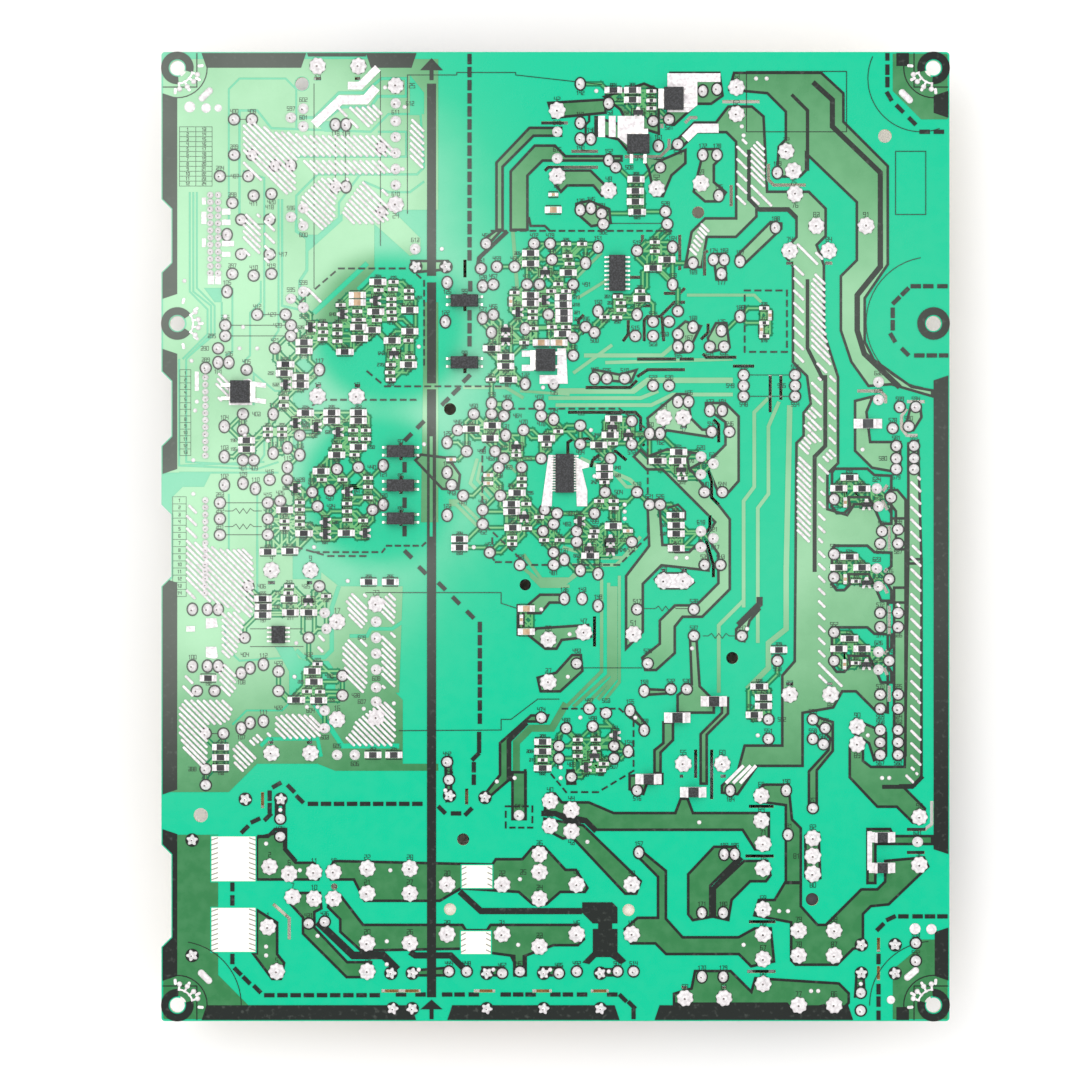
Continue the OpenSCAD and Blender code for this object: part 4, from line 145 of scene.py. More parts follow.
def mask_material(name, deep, pale, white, window=None, side=0.35):
    """Solder mask: its deep colour, its colour under the painted sheen, how white its thickest part is,
    the bare laminate in the windows of the mask, and the painted sheen at the right side."""
    made, tree, place, shader = blank(name)
    sheen = haze(tree, place, side)
    fine = add(tree, "ShaderNodeTexNoise",
               {"Vector": place.outputs["Object"], "Scale": 260.0, "Detail": 6.0})
    speckle = add(tree, "ShaderNodeMapRange",
                  {"Value": fine.outputs["Fac"], "From Min": 0.35, "From Max": 0.7,
                   "To Max": 0.06}, interpolation_type="SMOOTHSTEP")
    tone = add(tree, "ShaderNodeMix",
               {0: speckle.outputs["Result"], 6: linear(deep), 7: linear(pale)},
               data_type="RGBA").outputs[2]
    # Painted sheen of light: the mask turns pale where the sheen lies, and near white where it is
    # thickest.
    tone = add(tree, "ShaderNodeMix", {0: sheen, 6: tone, 7: linear(pale)},
               data_type="RGBA").outputs[2]
    glare = add(tree, "ShaderNodeMapRange",
                {"Value": sheen, "From Min": 0.3, "From Max": 1.0, "To Max": white},
                interpolation_type="SMOOTHSTEP")
    tone = add(tree, "ShaderNodeMix",
               {0: glare.outputs["Result"], 6: tone, 7: linear("F6FFF4")},
               data_type="RGBA").outputs[2]
    if window:
        z = add(tree, "ShaderNodeSeparateXYZ", {0: place.outputs["Object"]}).outputs["Z"]
        facing = add(tree, "ShaderNodeSeparateXYZ", {0: place.outputs["Normal"]}).outputs["Z"]
        below = add(tree, "ShaderNodeMapRange",
                    {"Value": z, "From Min": -0.00003, "From Max": -0.00006},
                    interpolation_type="SMOOTHSTEP")
        tone = add(tree, "ShaderNodeMix",
                   {0: below.outputs["Result"], 6: tone, 7: linear(window)},
                   data_type="RGBA").outputs[2]
        under = add(tree, "ShaderNodeMapRange",
                    {"Value": facing, "From Min": 0.4, "From Max": 0.2},
                    interpolation_type="SMOOTHSTEP")
        tone = add(tree, "ShaderNodeMix",
                   {0: under.outputs["Result"], 6: tone, 7: linear("D8CFAE")},
                   data_type="RGBA").outputs[2]
    tree.links.new(tone, shader.inputs["Base Color"])
    rough = add(tree, "ShaderNodeMapRange",
                {"Value": fine.outputs["Fac"], "From Min": 0.3, "From Max": 0.75,
                 "To Min": 0.2, "To Max": 0.42}, interpolation_type="SMOOTHSTEP")
    tree.links.new(rough.outputs["Result"], shader.inputs["Roughness"])
    shader.inputs["Specular IOR Level"].default_value = 0.16
    tree.links.new(flux_relief(tree, place, 0.35), shader.inputs["Normal"])
    return made


def dress(node, material):
    """Gives a CAD node its material."""
    mesh = nodes[node].data
    mesh.materials.clear()
    mesh.materials.append(material)


dress("board", mask_material("mask_on_laminate", "00B68A", "4BB88D", 0.196, "EDEBE0"))

# ---- Copper foil ----------------------------------------------------------------------------
# Etched copper foil under the same mask, which makes the green darker and more olive. Its edges
# stand a little above the laminate.

# On the copper, the painted sheen of light shows more strongly at the right side.
dress("copper_foil", mask_material("mask_on_copper", "2F7343", "90CB9B", 0.182, side=0.68))

# ---- Print ----------------------------------------------------------------------------------
# Near-black epoxy ink, screened on after the mask: heavy outlines round the mains copper, bands
# along the edges, the isolation line, and discs under the joints.


def ink_material(name, dark, faded):
    """Matt epoxy ink, made paler by fine specks and by the same painted sheen of light."""
    made, tree, place, shader = blank(name)
    sheen = haze(tree, place)
    specks = add(tree, "ShaderNodeTexNoise",
                 {"Vector": place.outputs["Object"], "Scale": 700.0, "Detail": 5.0})
    worn = add(tree, "ShaderNodeMapRange",
               {"Value": specks.outputs["Fac"], "From Min": 0.55, "From Max": 0.75,
                "To Max": 0.2}, interpolation_type="SMOOTHSTEP")
    tone = add(tree, "ShaderNodeMix",
               {0: worn.outputs["Result"], 6: linear(dark), 7: linear(faded)}, data_type="RGBA")
    # Painted sheen of light: the ink turns paler where the sheen lies.
    most = add(tree, "ShaderNodeMath", {0: sheen, 1: 0.7}, operation="MULTIPLY")
    tone = add(tree, "ShaderNodeMix",
               {0: most.outputs[0], 6: tone.outputs[2], 7: linear(faded)}, data_type="RGBA")
    tree.links.new(tone.outputs[2], shader.inputs["Base Color"])
    shader.inputs["Roughness"].default_value = 0.65
    shader.inputs["Specular IOR Level"].default_value = 0.2
    tree.links.new(flux_relief(tree, place, 0.2), shader.inputs["Normal"])
    return made


ink = ink_material("printed_ink", "1B201D", "767D75")
dress("printed_lines", ink)


def solids(name):
    """The corners of each connected solid of a CAD node."""
    mesh = nodes[name].data
    co = np.empty(len(mesh.vertices) * 3)
    mesh.vertices.foreach_get("co", co)
    co = co.reshape(-1, 3)
    weld = np.unique(np.round(co * 2e5).astype(np.int64), axis=0, return_inverse=True)[1].ravel()
    edges = np.empty(len(mesh.edges) * 2, np.int64)
    mesh.edges.foreach_get("vertices", edges)
    a, b = weld[edges].reshape(-1, 2).T
    label = np.arange(weld.max() + 1)
    while True:
        low = np.minimum(label[a], label[b])
        new = label.copy()
        np.minimum.at(new, a, low)
        np.minimum.at(new, b, low)
        new = new[new]
        if (new == label).all():
            break
        label = new
    group = label[weld]
    order = np.argsort(group, kind="stable")
    return np.split(co[order], np.flatnonzero(np.diff(group[order])) + 1)


def islands(name):
    """Lowest and highest corners of each connected solid of a CAD node, as rows of numbers."""
    return [np.concatenate([part.min(0), part.max(0)]) for part in solids(name)]


def middle(row):
    """The middle of a solid's foot, from its row of corners."""
    return Vector(((row[0] + row[3]) / 2, (row[1] + row[4]) / 2, row[2]))


def piece(name, bm, material, smooth=True, replaced=()):
    """Turns a bmesh into a shown piece that rides on the board."""
    mesh = bpy.data.meshes.new(name)
    bm.to_mesh(mesh)
    bm.free()
    mesh.materials.append(material)
    mesh.polygons.foreach_set("use_smooth", [smooth] * len(mesh.polygons))
    made = bpy.data.objects.new(name, mesh)
    bpy.context.scene.collection.objects.link(made)
    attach(made, "root")
    if replaced:
        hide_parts(*replaced)
    return made


height_steps = itertools.cycle(range(61))
height_step = 0.0002


def lifted(z):
    """A height in metres, a hair different each time, so crossing flat shapes share no plane."""
    return (z + next(height_steps) * height_step) / 1000


# Nothing flat is drawn past these, just inside the edges of the laminate.
edge_x, edge_y = 110.8, 136.2


def stroke(bm, points, width, z):
    """A flat line of even width through points given in millimetres."""
    half = width / 2
    for (x1, y1), (x2, y2) in zip(points, points[1:]):
        if max(abs(x1), abs(x2)) > edge_x or max(abs(y1), abs(y2)) > edge_y:
            continue
        run = Vector((x2 - x1, y2 - y1))
        if run.length == 0:
            continue
        along = run.normalized() * half
        side = Vector((-along.y, along.x))
        a, b = Vector((x1, y1)) - along, Vector((x2, y2)) + along
        corners = [a - side, b - side, b + side, a + side]
        level = lifted(z)
        bm.faces.new([bm.verts.new((c.x / 1000, c.y / 1000, level)) for c in corners])


def arc(x, y, r, start, end, steps=24):
    """Points along an arc, angles in degrees."""
    turn = [math.radians(start + (end - start) * i / steps) for i in range(steps + 1)]
    return [(x + r * math.cos(t), y + r * math.sin(t)) for t in turn]


# Fine lines, screened with the same ink: outlines of the parts on the other side, and frames.
thin_z = 0.155
outline_w, frame_w, jumper_w, zigzag_w = 0.22, 0.3, 0.2, 0.18
fine_lines = bmesh.new()
for line in [
    [(-41.7, 91), (-41.7, 130), (-27.8, 130), (-27.8, 130.7), (-11.2, 130.7), (-11.2, 130), (13, 127.3)],
    [(-53.4, -15.8), (-15.3, -15.8), (-15.3, -18.8), (-10, -20.5)],
    [(-44, -54.7), (-15.3, -54.5), (-15.3, -51.5), (-12.5, -51.5), (-5, -45.8), (1, -45.8)],
    [(53.8, 114), (82, 114), (82, 131), (53.8, 131), (53.8, 114)],
    [(95.8, 90.7), (104.3, 90.7), (104.3, 108.5), (95.8, 108.5), (95.8, 90.7)],
]:
    stroke(fine_lines, line, outline_w, thin_z)
for centre, r, start, end in [((103, 129), 15, 150, 290), ((106, 60.3), 18.5, 100, 262),
                              ((-106.5, -132), 18, 0, 80), ((106.5, -132), 18, 95, 180)]:
    stroke(fine_lines, arc(*centre, r, start, end), outline_w, thin_z)
hole_x, corner_y, side_y, clear_r = 106.5, 132, 60, 8.4
for x in (-1, 1):
    for y in (-1, 1):
        stroke(fine_lines, arc(x * hole_x, y * corner_y, clear_r, 0, 360, 40), frame_w, thin_z)
        stroke(fine_lines, [(x * 101, y * 136), (x * 101, y * 126.6), (x * 110.5, y * 126.6)],
               frame_w, thin_z)

# Each wire jumper has a thin line from joint to joint, and four resistors have a zigzag.
ring_r = 1.6
for row in islands("jumper_wires"):
    a, b = row[:3] * 1000, row[3:] * 1000
    y = (a[1] + b[1]) / 2
    stroke(fine_lines, [(a[0] + ring_r, y), (b[0] - ring_r, y)], jumper_w, thin_z)
for line in [[(-62, 114.5), (-62, 99.5)], [(-59.2, 114.5), (-59.2, 99.5)], [(-49.3, 131), (-49.3, 82)],
             [(-68, 127.5), (-68, 70)], [(31.3, 88.2), (13.4, 88.2)]]:
    stroke(fine_lines, line, jumper_w, thin_z)
for x1, x2, y in [(-94.7, -81.2, 7.2), (-94.7, -81.2, 2.8), (40, 52, -28), (23.1, 39, -20.3)]:
    middle_x = (x1 + x2) / 2
    zigzag = [(middle_x - 3 + k, y + (0.7 if k % 2 else -0.7) * (0 < k < 6)) for k in range(7)]
    stroke(fine_lines, [(x1 + ring_r, y)] + zigzag + [(x2 - ring_r, y)], zigzag_w, thin_z)


def dashed(bm, points, width, dash, gap, z):
    """A broken line through points."""
    for (x1, y1), (x2, y2) in zip(points, points[1:]):
        length = math.hypot(x2 - x1, y2 - y1)
        count = max(1, round(length / (dash + gap)))
        for k in range(count):
            s, e = k / count, k / count + dash / (dash + gap) / count
            stroke(bm, [(x1 + (x2 - x1) * s, y1 + (y2 - y1) * s),
                        (x1 + (x2 - x1) * e, y1 + (y2 - y1) * e)], width, z)


# Broken frames round the fields of small parts.
dash_w, dash_l, dash_gap = 0.5, 1.4, 1.4
for frame_line in [
    [(-53, 46.5), (-48, 42.3), (-14, 42.3)],
    [(-68, -4.4), (-48.8, -4.4), (-47.5, -2.6), (-37.5, -2.6), (-35.8, -1)],
    [(-18, 86.1), (34, 86.1)], [(53.3, 52), (53.3, 69.3), (65.2, 69.3), (65.2, 52), (53.3, 52)],
    [(-14, -76), (-6.5, -76), (-6.5, -82), (-14, -82), (-14, -76)],
    [(-17.8, -0.5), (-17.8, -6), (-16.8, -7.2), (-11, -7.2)],
    [(-72, 66), (-61, 75.5), (-41, 75.5), (-37, 72), (-37, 47)],
    [(-73, 34), (-66, 38.5), (-38, 38.5)], [(-73, -3), (-64, -5.5), (-52, -5.5)],
    [(-20.6, 24), (-13, 36), (18, 36), (26, 30), (26, 0), (18, -8), (-8, -8), (-20.6, 4), (-20.6, 24)],
    [(2, -48.5), (18, -48.5), (22, -52), (22, -66), (12, -72), (3, -72), (-2, -66)],
]:
    dashed(fine_lines, frame_line, dash_w, dash_l, dash_gap, thin_z)

# Plain numbers beside the parts, in strokes, wherever there is room for one.
digits = {
    "0": [(0, 0), (1, 0), (1, 2), (0, 2), (0, 0)], "1": [(0.2, 1.6), (0.6, 2), (0.6, 0)],
    "2": [(0, 2), (1, 2), (1, 1), (0, 1), (0, 0), (1, 0)],
    "3": [(0, 2), (1, 2), (1, 0), (0, 0), (0.3, 1), (1, 1)],
    "4": [(0, 2), (0, 1), (1, 1), (1, 2), (1, 0)],
    "5": [(1, 2), (0, 2), (0, 1), (1, 1), (1, 0), (0, 0)],
    "6": [(1, 2), (0, 2), (0, 0), (1, 0), (1, 1), (0, 1)], "7": [(0, 2), (1, 2), (0.4, 0)],
    "8": [(0, 0), (1, 0), (1, 2), (0, 2), (0, 0), (0, 1), (1, 1)],
    "9": [(0, 0), (1, 0), (1, 2), (0, 2), (0, 1), (1, 1)],
}


def number(bm, text, x, y, size, width):
    """A plain number centred on x, y; size is half its height."""
    step = size * 1.45
    for k, letter in enumerate(text):
        start = x - (len(text) * step - size * 0.45) / 2 + k * step
        stroke(bm, [(start + u * size, y + (v - 1) * size) for u, v in digits[letter]], width,
               thin_z)


taken = []
for source in ("ring_joints", "oval_joints", "plain_joints", "star_joints", "eyelet_joints",
               "header_joints", "chip_solder", "ic_leads", "power_transistors", "controller_ic",
               "sixteen_pin_ic", "eight_pin_ic", "optocouplers", "solder_stripes",
               "tinned_tracks", "hole_contacts"):
    taken += [(r[0] * 1000, r[1] * 1000, r[3] * 1000, r[4] * 1000) for r in islands(source)]
taken += [(-98, -98, -83, -83), (-98, -118, -83, -103), (-27, -99, -17, -92), (-27, -118, -17, -111),
          (-37, -137, -33, 137)]


# Numbers stay this far from the middle of the board, clear of its edges.
number_x, number_y = 104, 130


def free(x, y, w, h):
    """Whether a number of half size w by h has room at x, y."""
    box = np.array(taken)
    hit = (box[:, 0] < x + w) & (box[:, 2] > x - w) & (box[:, 1] < y + h) & (box[:, 3] > y - h)
    return not hit.any() and abs(x) < number_x and abs(y) < number_y


label, last_label = 1, 899
stem_w, gap_above, gap_beside = 0.14, 0.3, 1.1
for source, size in [("eyelet_joints", 0.65), ("power_transistors", 0.65), ("optocouplers", 0.6),
                     ("oval_joints", 0.55), ("chip_resistors", 0.42), ("ring_joints", 0.55),
                     ("plain_joints", 0.55), ("small_transistors", 0.42), ("chip_diodes", 0.42)]:
    for row in islands(source):
        x1, y1, x2, y2 = row[0] * 1000, row[1] * 1000, row[3] * 1000, row[4] * 1000
        text = str(label)
        w, h = len(text) * size * 0.8, size * 1.15
        x, y = (x1 + x2) / 2, (y1 + y2) / 2
        for dx, dy in [(0, (y2 - y1) / 2 + h + gap_above),
                       (0, -(y2 - y1) / 2 - h - gap_above),
                       (-(x2 - x1) / 2 - w - gap_beside, 0),
                       ((x2 - x1) / 2 + w + gap_beside, 0)]:
            if free(x + dx, y + dy, w, h):
                number(fine_lines, text, x + dx, y + dy, size, stem_w)
                taken.append((x + dx - w, y + dy - h, x + dx + w, y + dy + h))
                label = label % last_label + 1
                break

# Tables of the pin numbers beside the headers.
rule_w, cell_size, cell_stem = 0.12, 0.42, 0.15
for x1, y1, x2, y2, rows, columns in [(-105.9, 98.7, -96.7, 115.4, 12, 2),
                                      (-105.8, 22.8, -102.7, 47, 13, 1),
                                      (-107.8, -16.9, -104, 11.2, 14, 1)]:
    for k in range(rows + 1):
        y = y1 + (y2 - y1) * k / rows
        stroke(fine_lines, [(x1, y), (x2, y)], rule_w, thin_z)
    for k in range(columns + 1):
        x = x1 + (x2 - x1) * k / columns
        stroke(fine_lines, [(x, y1), (x, y2)], rule_w, thin_z)
    for k in range(rows * columns):
        cell_x = x1 + (x2 - x1) * (k // rows + 0.5) / columns
        cell_y = y2 - (y2 - y1) * (k % rows + 0.5) / rows
        number(fine_lines, str(k + 1), cell_x, cell_y, cell_size, cell_stem)

# A thin outline round each chip.
chip_margin, chip_line_w = 0.45, 0.2
for source in ("chip_resistors", "chip_capacitors", "small_transistors", "chip_diodes"):
    for row in islands(source):
        left, low = row[0] * 1000 - chip_margin, row[1] * 1000 - chip_margin
        right, top = row[3] * 1000 + chip_margin, row[4] * 1000 + chip_margin
        for edge in ([(left, low), (right, low)], [(left, top), (right, top)],
                     [(left, low), (left, top)], [(right, low), (right, top)]):
            stroke(fine_lines, edge, chip_line_w, thin_z)
piece("fine_lines", fine_lines, ink, smooth=False)


def disc(bm, x, y, z, outer, inner=0.0, start=0.0, end=360.0, tall=1.0):
    """A flat disc or ring in millimetres, as far round as the angles say."""
    outside = [(u, y + (v - y) * tall) for u, v in arc(x, y, outer, start, end, 28)]
    level = lifted(z)
    if not inner:
        bm.faces.new([bm.verts.new((u / 1000, v / 1000, level)) for u, v in outside[:-1]])
        return
    inside = arc(x, y, inner, start, end, 28)
    rows = [[bm.verts.new((u / 1000, v / 1000, level)) for u, v in ring]
            for ring in (outside, inside)]
    for k in range(28):
        bm.faces.new((rows[0][k], rows[0][k + 1], rows[1][k + 1], rows[1][k]))


# Discs under the joints, of which a thin rim shows, and the black rings round the fixing holes, open
# towards the middle of the board where a hole has its lobe.
disc_z, hole_ring, lobe_ring, lobe_half = 0.18, 4.6, 2.45, 34
discs = bmesh.new()
for source, radius, tall in [("ring_joints", 1.78, 1.0), ("oval_joints", 1.68, 1.17),
                             ("star_joints", 1.9, 1.0), ("eyelet_joints", 2.3, 1.0)]:
    for row in islands(source):
        disc(discs, (row[0] + row[3]) * 500, (row[1] + row[4]) * 500, disc_z, radius, tall=tall)
fixing_holes = [(side * hole_x, y) for side in (-1, 1) for y in (-corner_y, side_y, corner_y)]
for x, y in fixing_holes:
    inward = math.degrees(math.atan2(-y if abs(y) > 100 else 0, -x))
    opening = 0 if x > 0 and abs(y) < 100 else lobe_half
    disc(discs, x, y, disc_z, hole_ring, lobe_ring, inward + opening, inward + 360 - opening)
piece("joint_discs", discs, ink, smooth=False, replaced=("printed_discs",))

# Teeth printed along two sides of each bare window.
tooth_w, tooth_lean, tooth_z = 0.32, 0.3, -0.06
teeth = bmesh.new()
for x, y, half_w, half_h, count, long in [
    (-90.7, -90.8, 6.2, 6.3, 9, 1.7), (-90.7, -110.8, 6.2, 6.2, 9, 1.7),
    (-22.1, -95.8, 4.3, 3.2, 4, 1.2), (-22.4, -114.4, 4.2, 3.2, 4, 1.2),
]:
    for k in range(count):
        tooth_y = y - half_h + (k + 0.5) * 2 * half_h / count
        for side in (-1, 1):
            stroke(teeth, [(x + side * half_w, tooth_y - tooth_lean),
                           (x + side * (half_w - long), tooth_y + tooth_lean)], tooth_w, tooth_z)
piece("window_teeth", teeth, ink_material("window_ink", "8F8C84", "B5B2AA"),
      smooth=False)

# ---- Fine copper tracks ---------------------------------------------------------------------
# Narrow tracks etched between the small parts, under the mask, stand out as lighter green. The
# strips beside them are darker: thick mask there, with painted shade of the track edges added.

track_w, track_z = 0.5, 0.1135
gap_w, gap_z = 1.5, 0.1005
shortest, longest = 1.2, 9
isolation_x = -35
track_bm = bmesh.new()
gap_bm = bmesh.new()
spots = []
for source in ("chip_resistors", "chip_capacitors", "small_transistors", "chip_diodes"):
    for row in islands(source):
        x, y = (row[0] + row[3]) * 500, (row[1] + row[4]) * 500
        w, h = (row[3] - row[0]) * 500, (row[4] - row[1]) * 500
        spots += [(x - w, y), (x + w, y)] if w > h else [(x, y - h), (x, y + h)]
holes = [((r[0] + r[3]) * 500, (r[1] + r[4]) * 500)
         for s in ("ring_joints", "oval_joints", "plain_joints") for r in islands(s)]
targets = np.array(spots + holes)
for k, (x, y) in enumerate(targets):
    away = np.hypot(targets[:, 0] - x, targets[:, 1] - y)
    in_field = np.sort(away[:len(spots)])[4] < longest
    for pick in np.argsort(away)[1:7 if k < len(spots) else 4]:
        u, v = targets[pick]
        own = k < len(spots) and pick < len(spots) and pick // 2 == k // 2
        across = (x - isolation_x) * (u - isolation_x) < 0
        if not in_field or own or across or not shortest < away[pick] < longest:
            continue
        bend = min(abs(u - x), abs(v - y))
        via = (x + math.copysign(bend, u - x), y + math.copysign(bend, v - y))
        stroke(gap_bm, [(x, y), via, (u, v)], gap_w, gap_z)
        stroke(track_bm, [(x, y), via, (u, v)], track_w, track_z)
# Darker strips beside the tracks: thicker mask, with painted shade along the track edges.
piece("track_gaps", gap_bm, mask_material("thick_mask_and_shade", "066C47", "26845A", 0.07),
      smooth=False)
piece("fine_tracks", track_bm, mask_material("mask_on_tracks", "4D9F5E", "91C58D", 0.14),
      smooth=False)

# ---- Solder joints --------------------------------------------------------------------------
# Wave-soldered joints: bright tin that climbs a clipped lead. Each one froze a little differently,
# so each is a lumpy copy of one of a few turned shapes.


def metal_material(name, tone, dark, roughness, grain, relief, metallic=1.0):
    """Bright metal with a mottled surface."""
    made, tree, place, shader = blank(name)
    cloud = add(tree, "ShaderNodeTexNoise",
                {"Vector": place.outputs["Object"], "Scale": grain, "Detail": 5.0})
    mottle = add(tree, "ShaderNodeMapRange",
                 {"Value": cloud.outputs["Fac"], "From Min": 0.35, "From Max": 0.7},
                 interpolation_type="SMOOTHSTEP")
    colour = add(tree, "ShaderNodeMix",
                 {0: mottle.outputs["Result"], 6: linear(tone), 7: linear(dark)}, data_type="RGBA")
    tree.links.new(colour.outputs[2], shader.inputs["Base Color"])
    shader.inputs["Metallic"].default_value = metallic
    rough = add(tree, "ShaderNodeMapRange",
                {"Value": cloud.outputs["Fac"], "From Min": 0.3, "From Max": 0.7,
                 "To Min": roughness * 0.7, "To Max": roughness * 1.3},
                interpolation_type="SMOOTHSTEP")
    tree.links.new(rough.outputs["Result"], shader.inputs["Roughness"])
    bump = add(tree, "ShaderNodeBump", {"Height": cloud.outputs["Fac"], "Strength": relief,
                                        "Distance": 0.0003})
    tree.links.new(bump.outputs["Normal"], shader.inputs["Normal"])
    return made


solder = metal_material("bright_solder", "E6E2E3", "CDC6C8", 0.42, 1100.0, 0.1, 0.3)
tin = metal_material("tinned_copper", "F3F1EE", "CFCAC6", 0.34, 900.0, 0.15)
rng = random.Random(7)


def turned(profile, segments, lobes=0, depth=0.0, seed=0):
    """Mesh of a turned shape: radius and height pairs in millimetres, with optional lobes."""
    bm = bmesh.new()
    rings = []
    for r, z in profile[:-1]:
        ring = []
        for i in range(segments):
            t = 2 * math.pi * i / segments
            reach = r / profile[0][0]
            wave = 1 - depth * reach * (0.5 - 0.5 * math.cos(lobes * t)) if lobes else 1
            spot = Vector((math.cos(t) * r * wave, math.sin(t) * r * wave, z))
            lump = noise.noise(spot * 1.1 + Vector((seed * 9.1, 0, 0)))
            spot.z += lump * 0.14 * min(z, 0.8)
            ring.append(bm.verts.new(spot / 1000))
        rings.append(ring)
    top = bm.verts.new((0, 0, profile[-1][1] / 1000))
    for a, b in zip(rings, rings[1:]):
        for i in range(segments):
            j = (i + 1) % segments
            bm.faces.new((a[i], a[j], b[j], b[i]))
    for i in range(segments):
        bm.faces.new((rings[-1][i], rings[-1][(i + 1) % segments], top))
    mesh = bpy.data.meshes.new("turned")
    bm.to_mesh(mesh)
    bm.free()
    return mesh


def stamp(bm, mesh, matrix):
    """Adds a copy of a mesh, moved by the matrix."""
    first = len(bm.verts)
    bm.from_mesh(mesh)
    bm.verts.ensure_lookup_table()
    bmesh.ops.transform(bm, matrix=matrix, verts=bm.verts[first:])


def joints(name, source, shapes, stretch=0.08, tall=1.0):
    """A blob for each joint of a CAD node, each turned and stretched at random."""
    bm = bmesh.new()
    for row in islands(source):
        turn = Matrix.Rotation(rng.uniform(0, 2 * math.pi), 4, "Z")
        wide = Matrix.Diagonal((1 - rng.uniform(0, stretch), tall - rng.uniform(0, stretch), 1, 1))
        stamp(bm, rng.choice(shapes), Matrix.Translation(middle(row)) @ wide @ turn)
    piece(name, bm, solder, replaced=(source,))


domed = [(1.44, 0), (1.38, 0.1), (1.2, 0.3), (0.95, 0.52), (0.7, 0.72), (0.48, 0.9), (0.3, 1.05),
         (0, 1.08)]
flower = [(2.5, 0), (2.44, 0.14), (2.2, 0.32), (1.8, 0.48), (1.4, 0.64), (1.05, 0.85), (0.8, 1.05),
          (0.55, 1.2), (0, 1.24)]


def sized(profile, wide, high=1.0):
    """A turned profile made wider and higher."""
    return [(r * wide, z * high) for r, z in profile]


joints("small_blobs", "ring_joints", [turned(domed, 18, seed=s) for s in range(5)])
joints("oval_blobs", "oval_joints", [turned(sized(domed, 0.93), 18, seed=s) for s in range(5)],
       tall=1.2)
joints("plain_blobs", "plain_joints", [turned(sized(domed, 1.1), 18, seed=s) for s in range(5)])
joints("header_blobs", "header_joints", [turned(sized(domed, 0.68, 0.75), 12, seed=s)
                                         for s in range(3)])
joints("eyelet_blobs", "eyelet_joints", [turned(flower, 72, 8, 0.13, seed=s) for s in range(5)],
       stretch=0.05)
joints("star_blobs", "star_joints", [turned(sized(flower, 0.7, 0.85), 40, 5, 0.34, seed=s)
                                     for s in range(4)])

# Clipped ends of the leads, which stand out of their joints a little off the middle.
lead_end = metal_material("clipped_lead", "8F8783", "5E5653", 0.45, 2200.0, 0.3)
tips = bmesh.new()
tip_l = 0.8
for source, radius, top, off in [("ring_joints", 0.24, 1.3, 0.45), ("oval_joints", 0.24, 1.25, 0.45),
                                 ("plain_joints", 0.26, 1.35, 0.4), ("header_joints", 0.2, 0.95, 0.1),
                                 ("eyelet_joints", 0.3, 1.5, 0.25), ("star_joints", 0.22, 1.2, 0.2)]:
    for row in islands(source):
        x, y, z = middle(row)
        aside = rng.uniform(0.5, 1.0) * off / 1000
        spot = Vector((x - aside, y - aside * rng.uniform(0.2, 1.0), z + (top - tip_l / 2) / 1000))
        tilt = Matrix.Rotation(rng.uniform(-0.2, 0.2), 4, "X") @ Matrix.Rotation(
            rng.uniform(-0.2, 0.2), 4, "Y")
        bmesh.ops.create_cone(tips, cap_ends=True, segments=10, radius1=radius / 1000,
                              radius2=radius * 0.85 / 1000, depth=tip_l / 1000,
                              matrix=Matrix.Translation(spot) @ tilt)
piece("clipped_leads", tips, lead_end)

# Bare test lands, each with a small dome of solder.
dots = bmesh.new()
dome = turned([(0.62, 0), (0.58, 0.14), (0.4, 0.26), (0.2, 0.31), (0, 0.33)], 12)
for x, y in [
    (-48, 126.5), (56.5, 129), (59.5, 129), (53, 113), (11.5, 125.5), (-42.5, 121), (-43, 103.5),
    (52.5, 115.5), (-102.5, 49.5), (-104.5, 72), (-32, 81), (-88, 59), (-84, 53), (-89, 53),
    (-93, 62), (-73, 58), (-38.5, 53.5), (-3.5, 42), (10, 30), (11, 17), (-101, 42.5), (-101, 38),
    (-101.5, 35.5), (-102, 21.5), (-102, 12), (-81, 27), (-87.5, 28.5), (19.5, 9), (19.5, 7),
    (19.5, 5), (86.5, 24.5), (-37, 26), (-58.5, -12.5), (-23, -3), (-4, -20.5), (4, -27.5),
    (3.5, -39.5), (34, -6), (37, -6), (38.5, -31.5), (54, -26), (-73, -30), (-73.5, -39.5),
    (-68, -3), (-67, -48), (-70, -48), (-54, -48.5), (-45.5, -47), (-31, -71.5), (-16.5, -69),
    (-11.5, -68), (-77.5, -77), (-81.5, -86.5), (22.5, -51), (7, -51), (1.5, -68), (1.5, -65),
    (57.5, -51.5), (57, -56), (88, -56), (92, -68), (94, -68), (40.5, -80.5), (9, -86),
    (-72, -94), (-81.5, -115.5), (-81.5, -118), (-67, -112.5), (-46.5, -94), (-47.5, -114),
    (-10, -96.5), (-10.5, -115), (-47.5, -120.5), (-38.5, -122), (-17.5, -122), (-1.5, -122),
    (53, -115), (15, -122.5), (63, -105.5), (65.5, -105.5), (72, -128), (74, -128), (86, -126),
]:
    stamp(dots, dome, Matrix.Translation((x / 1000, y / 1000, 0.0001)))
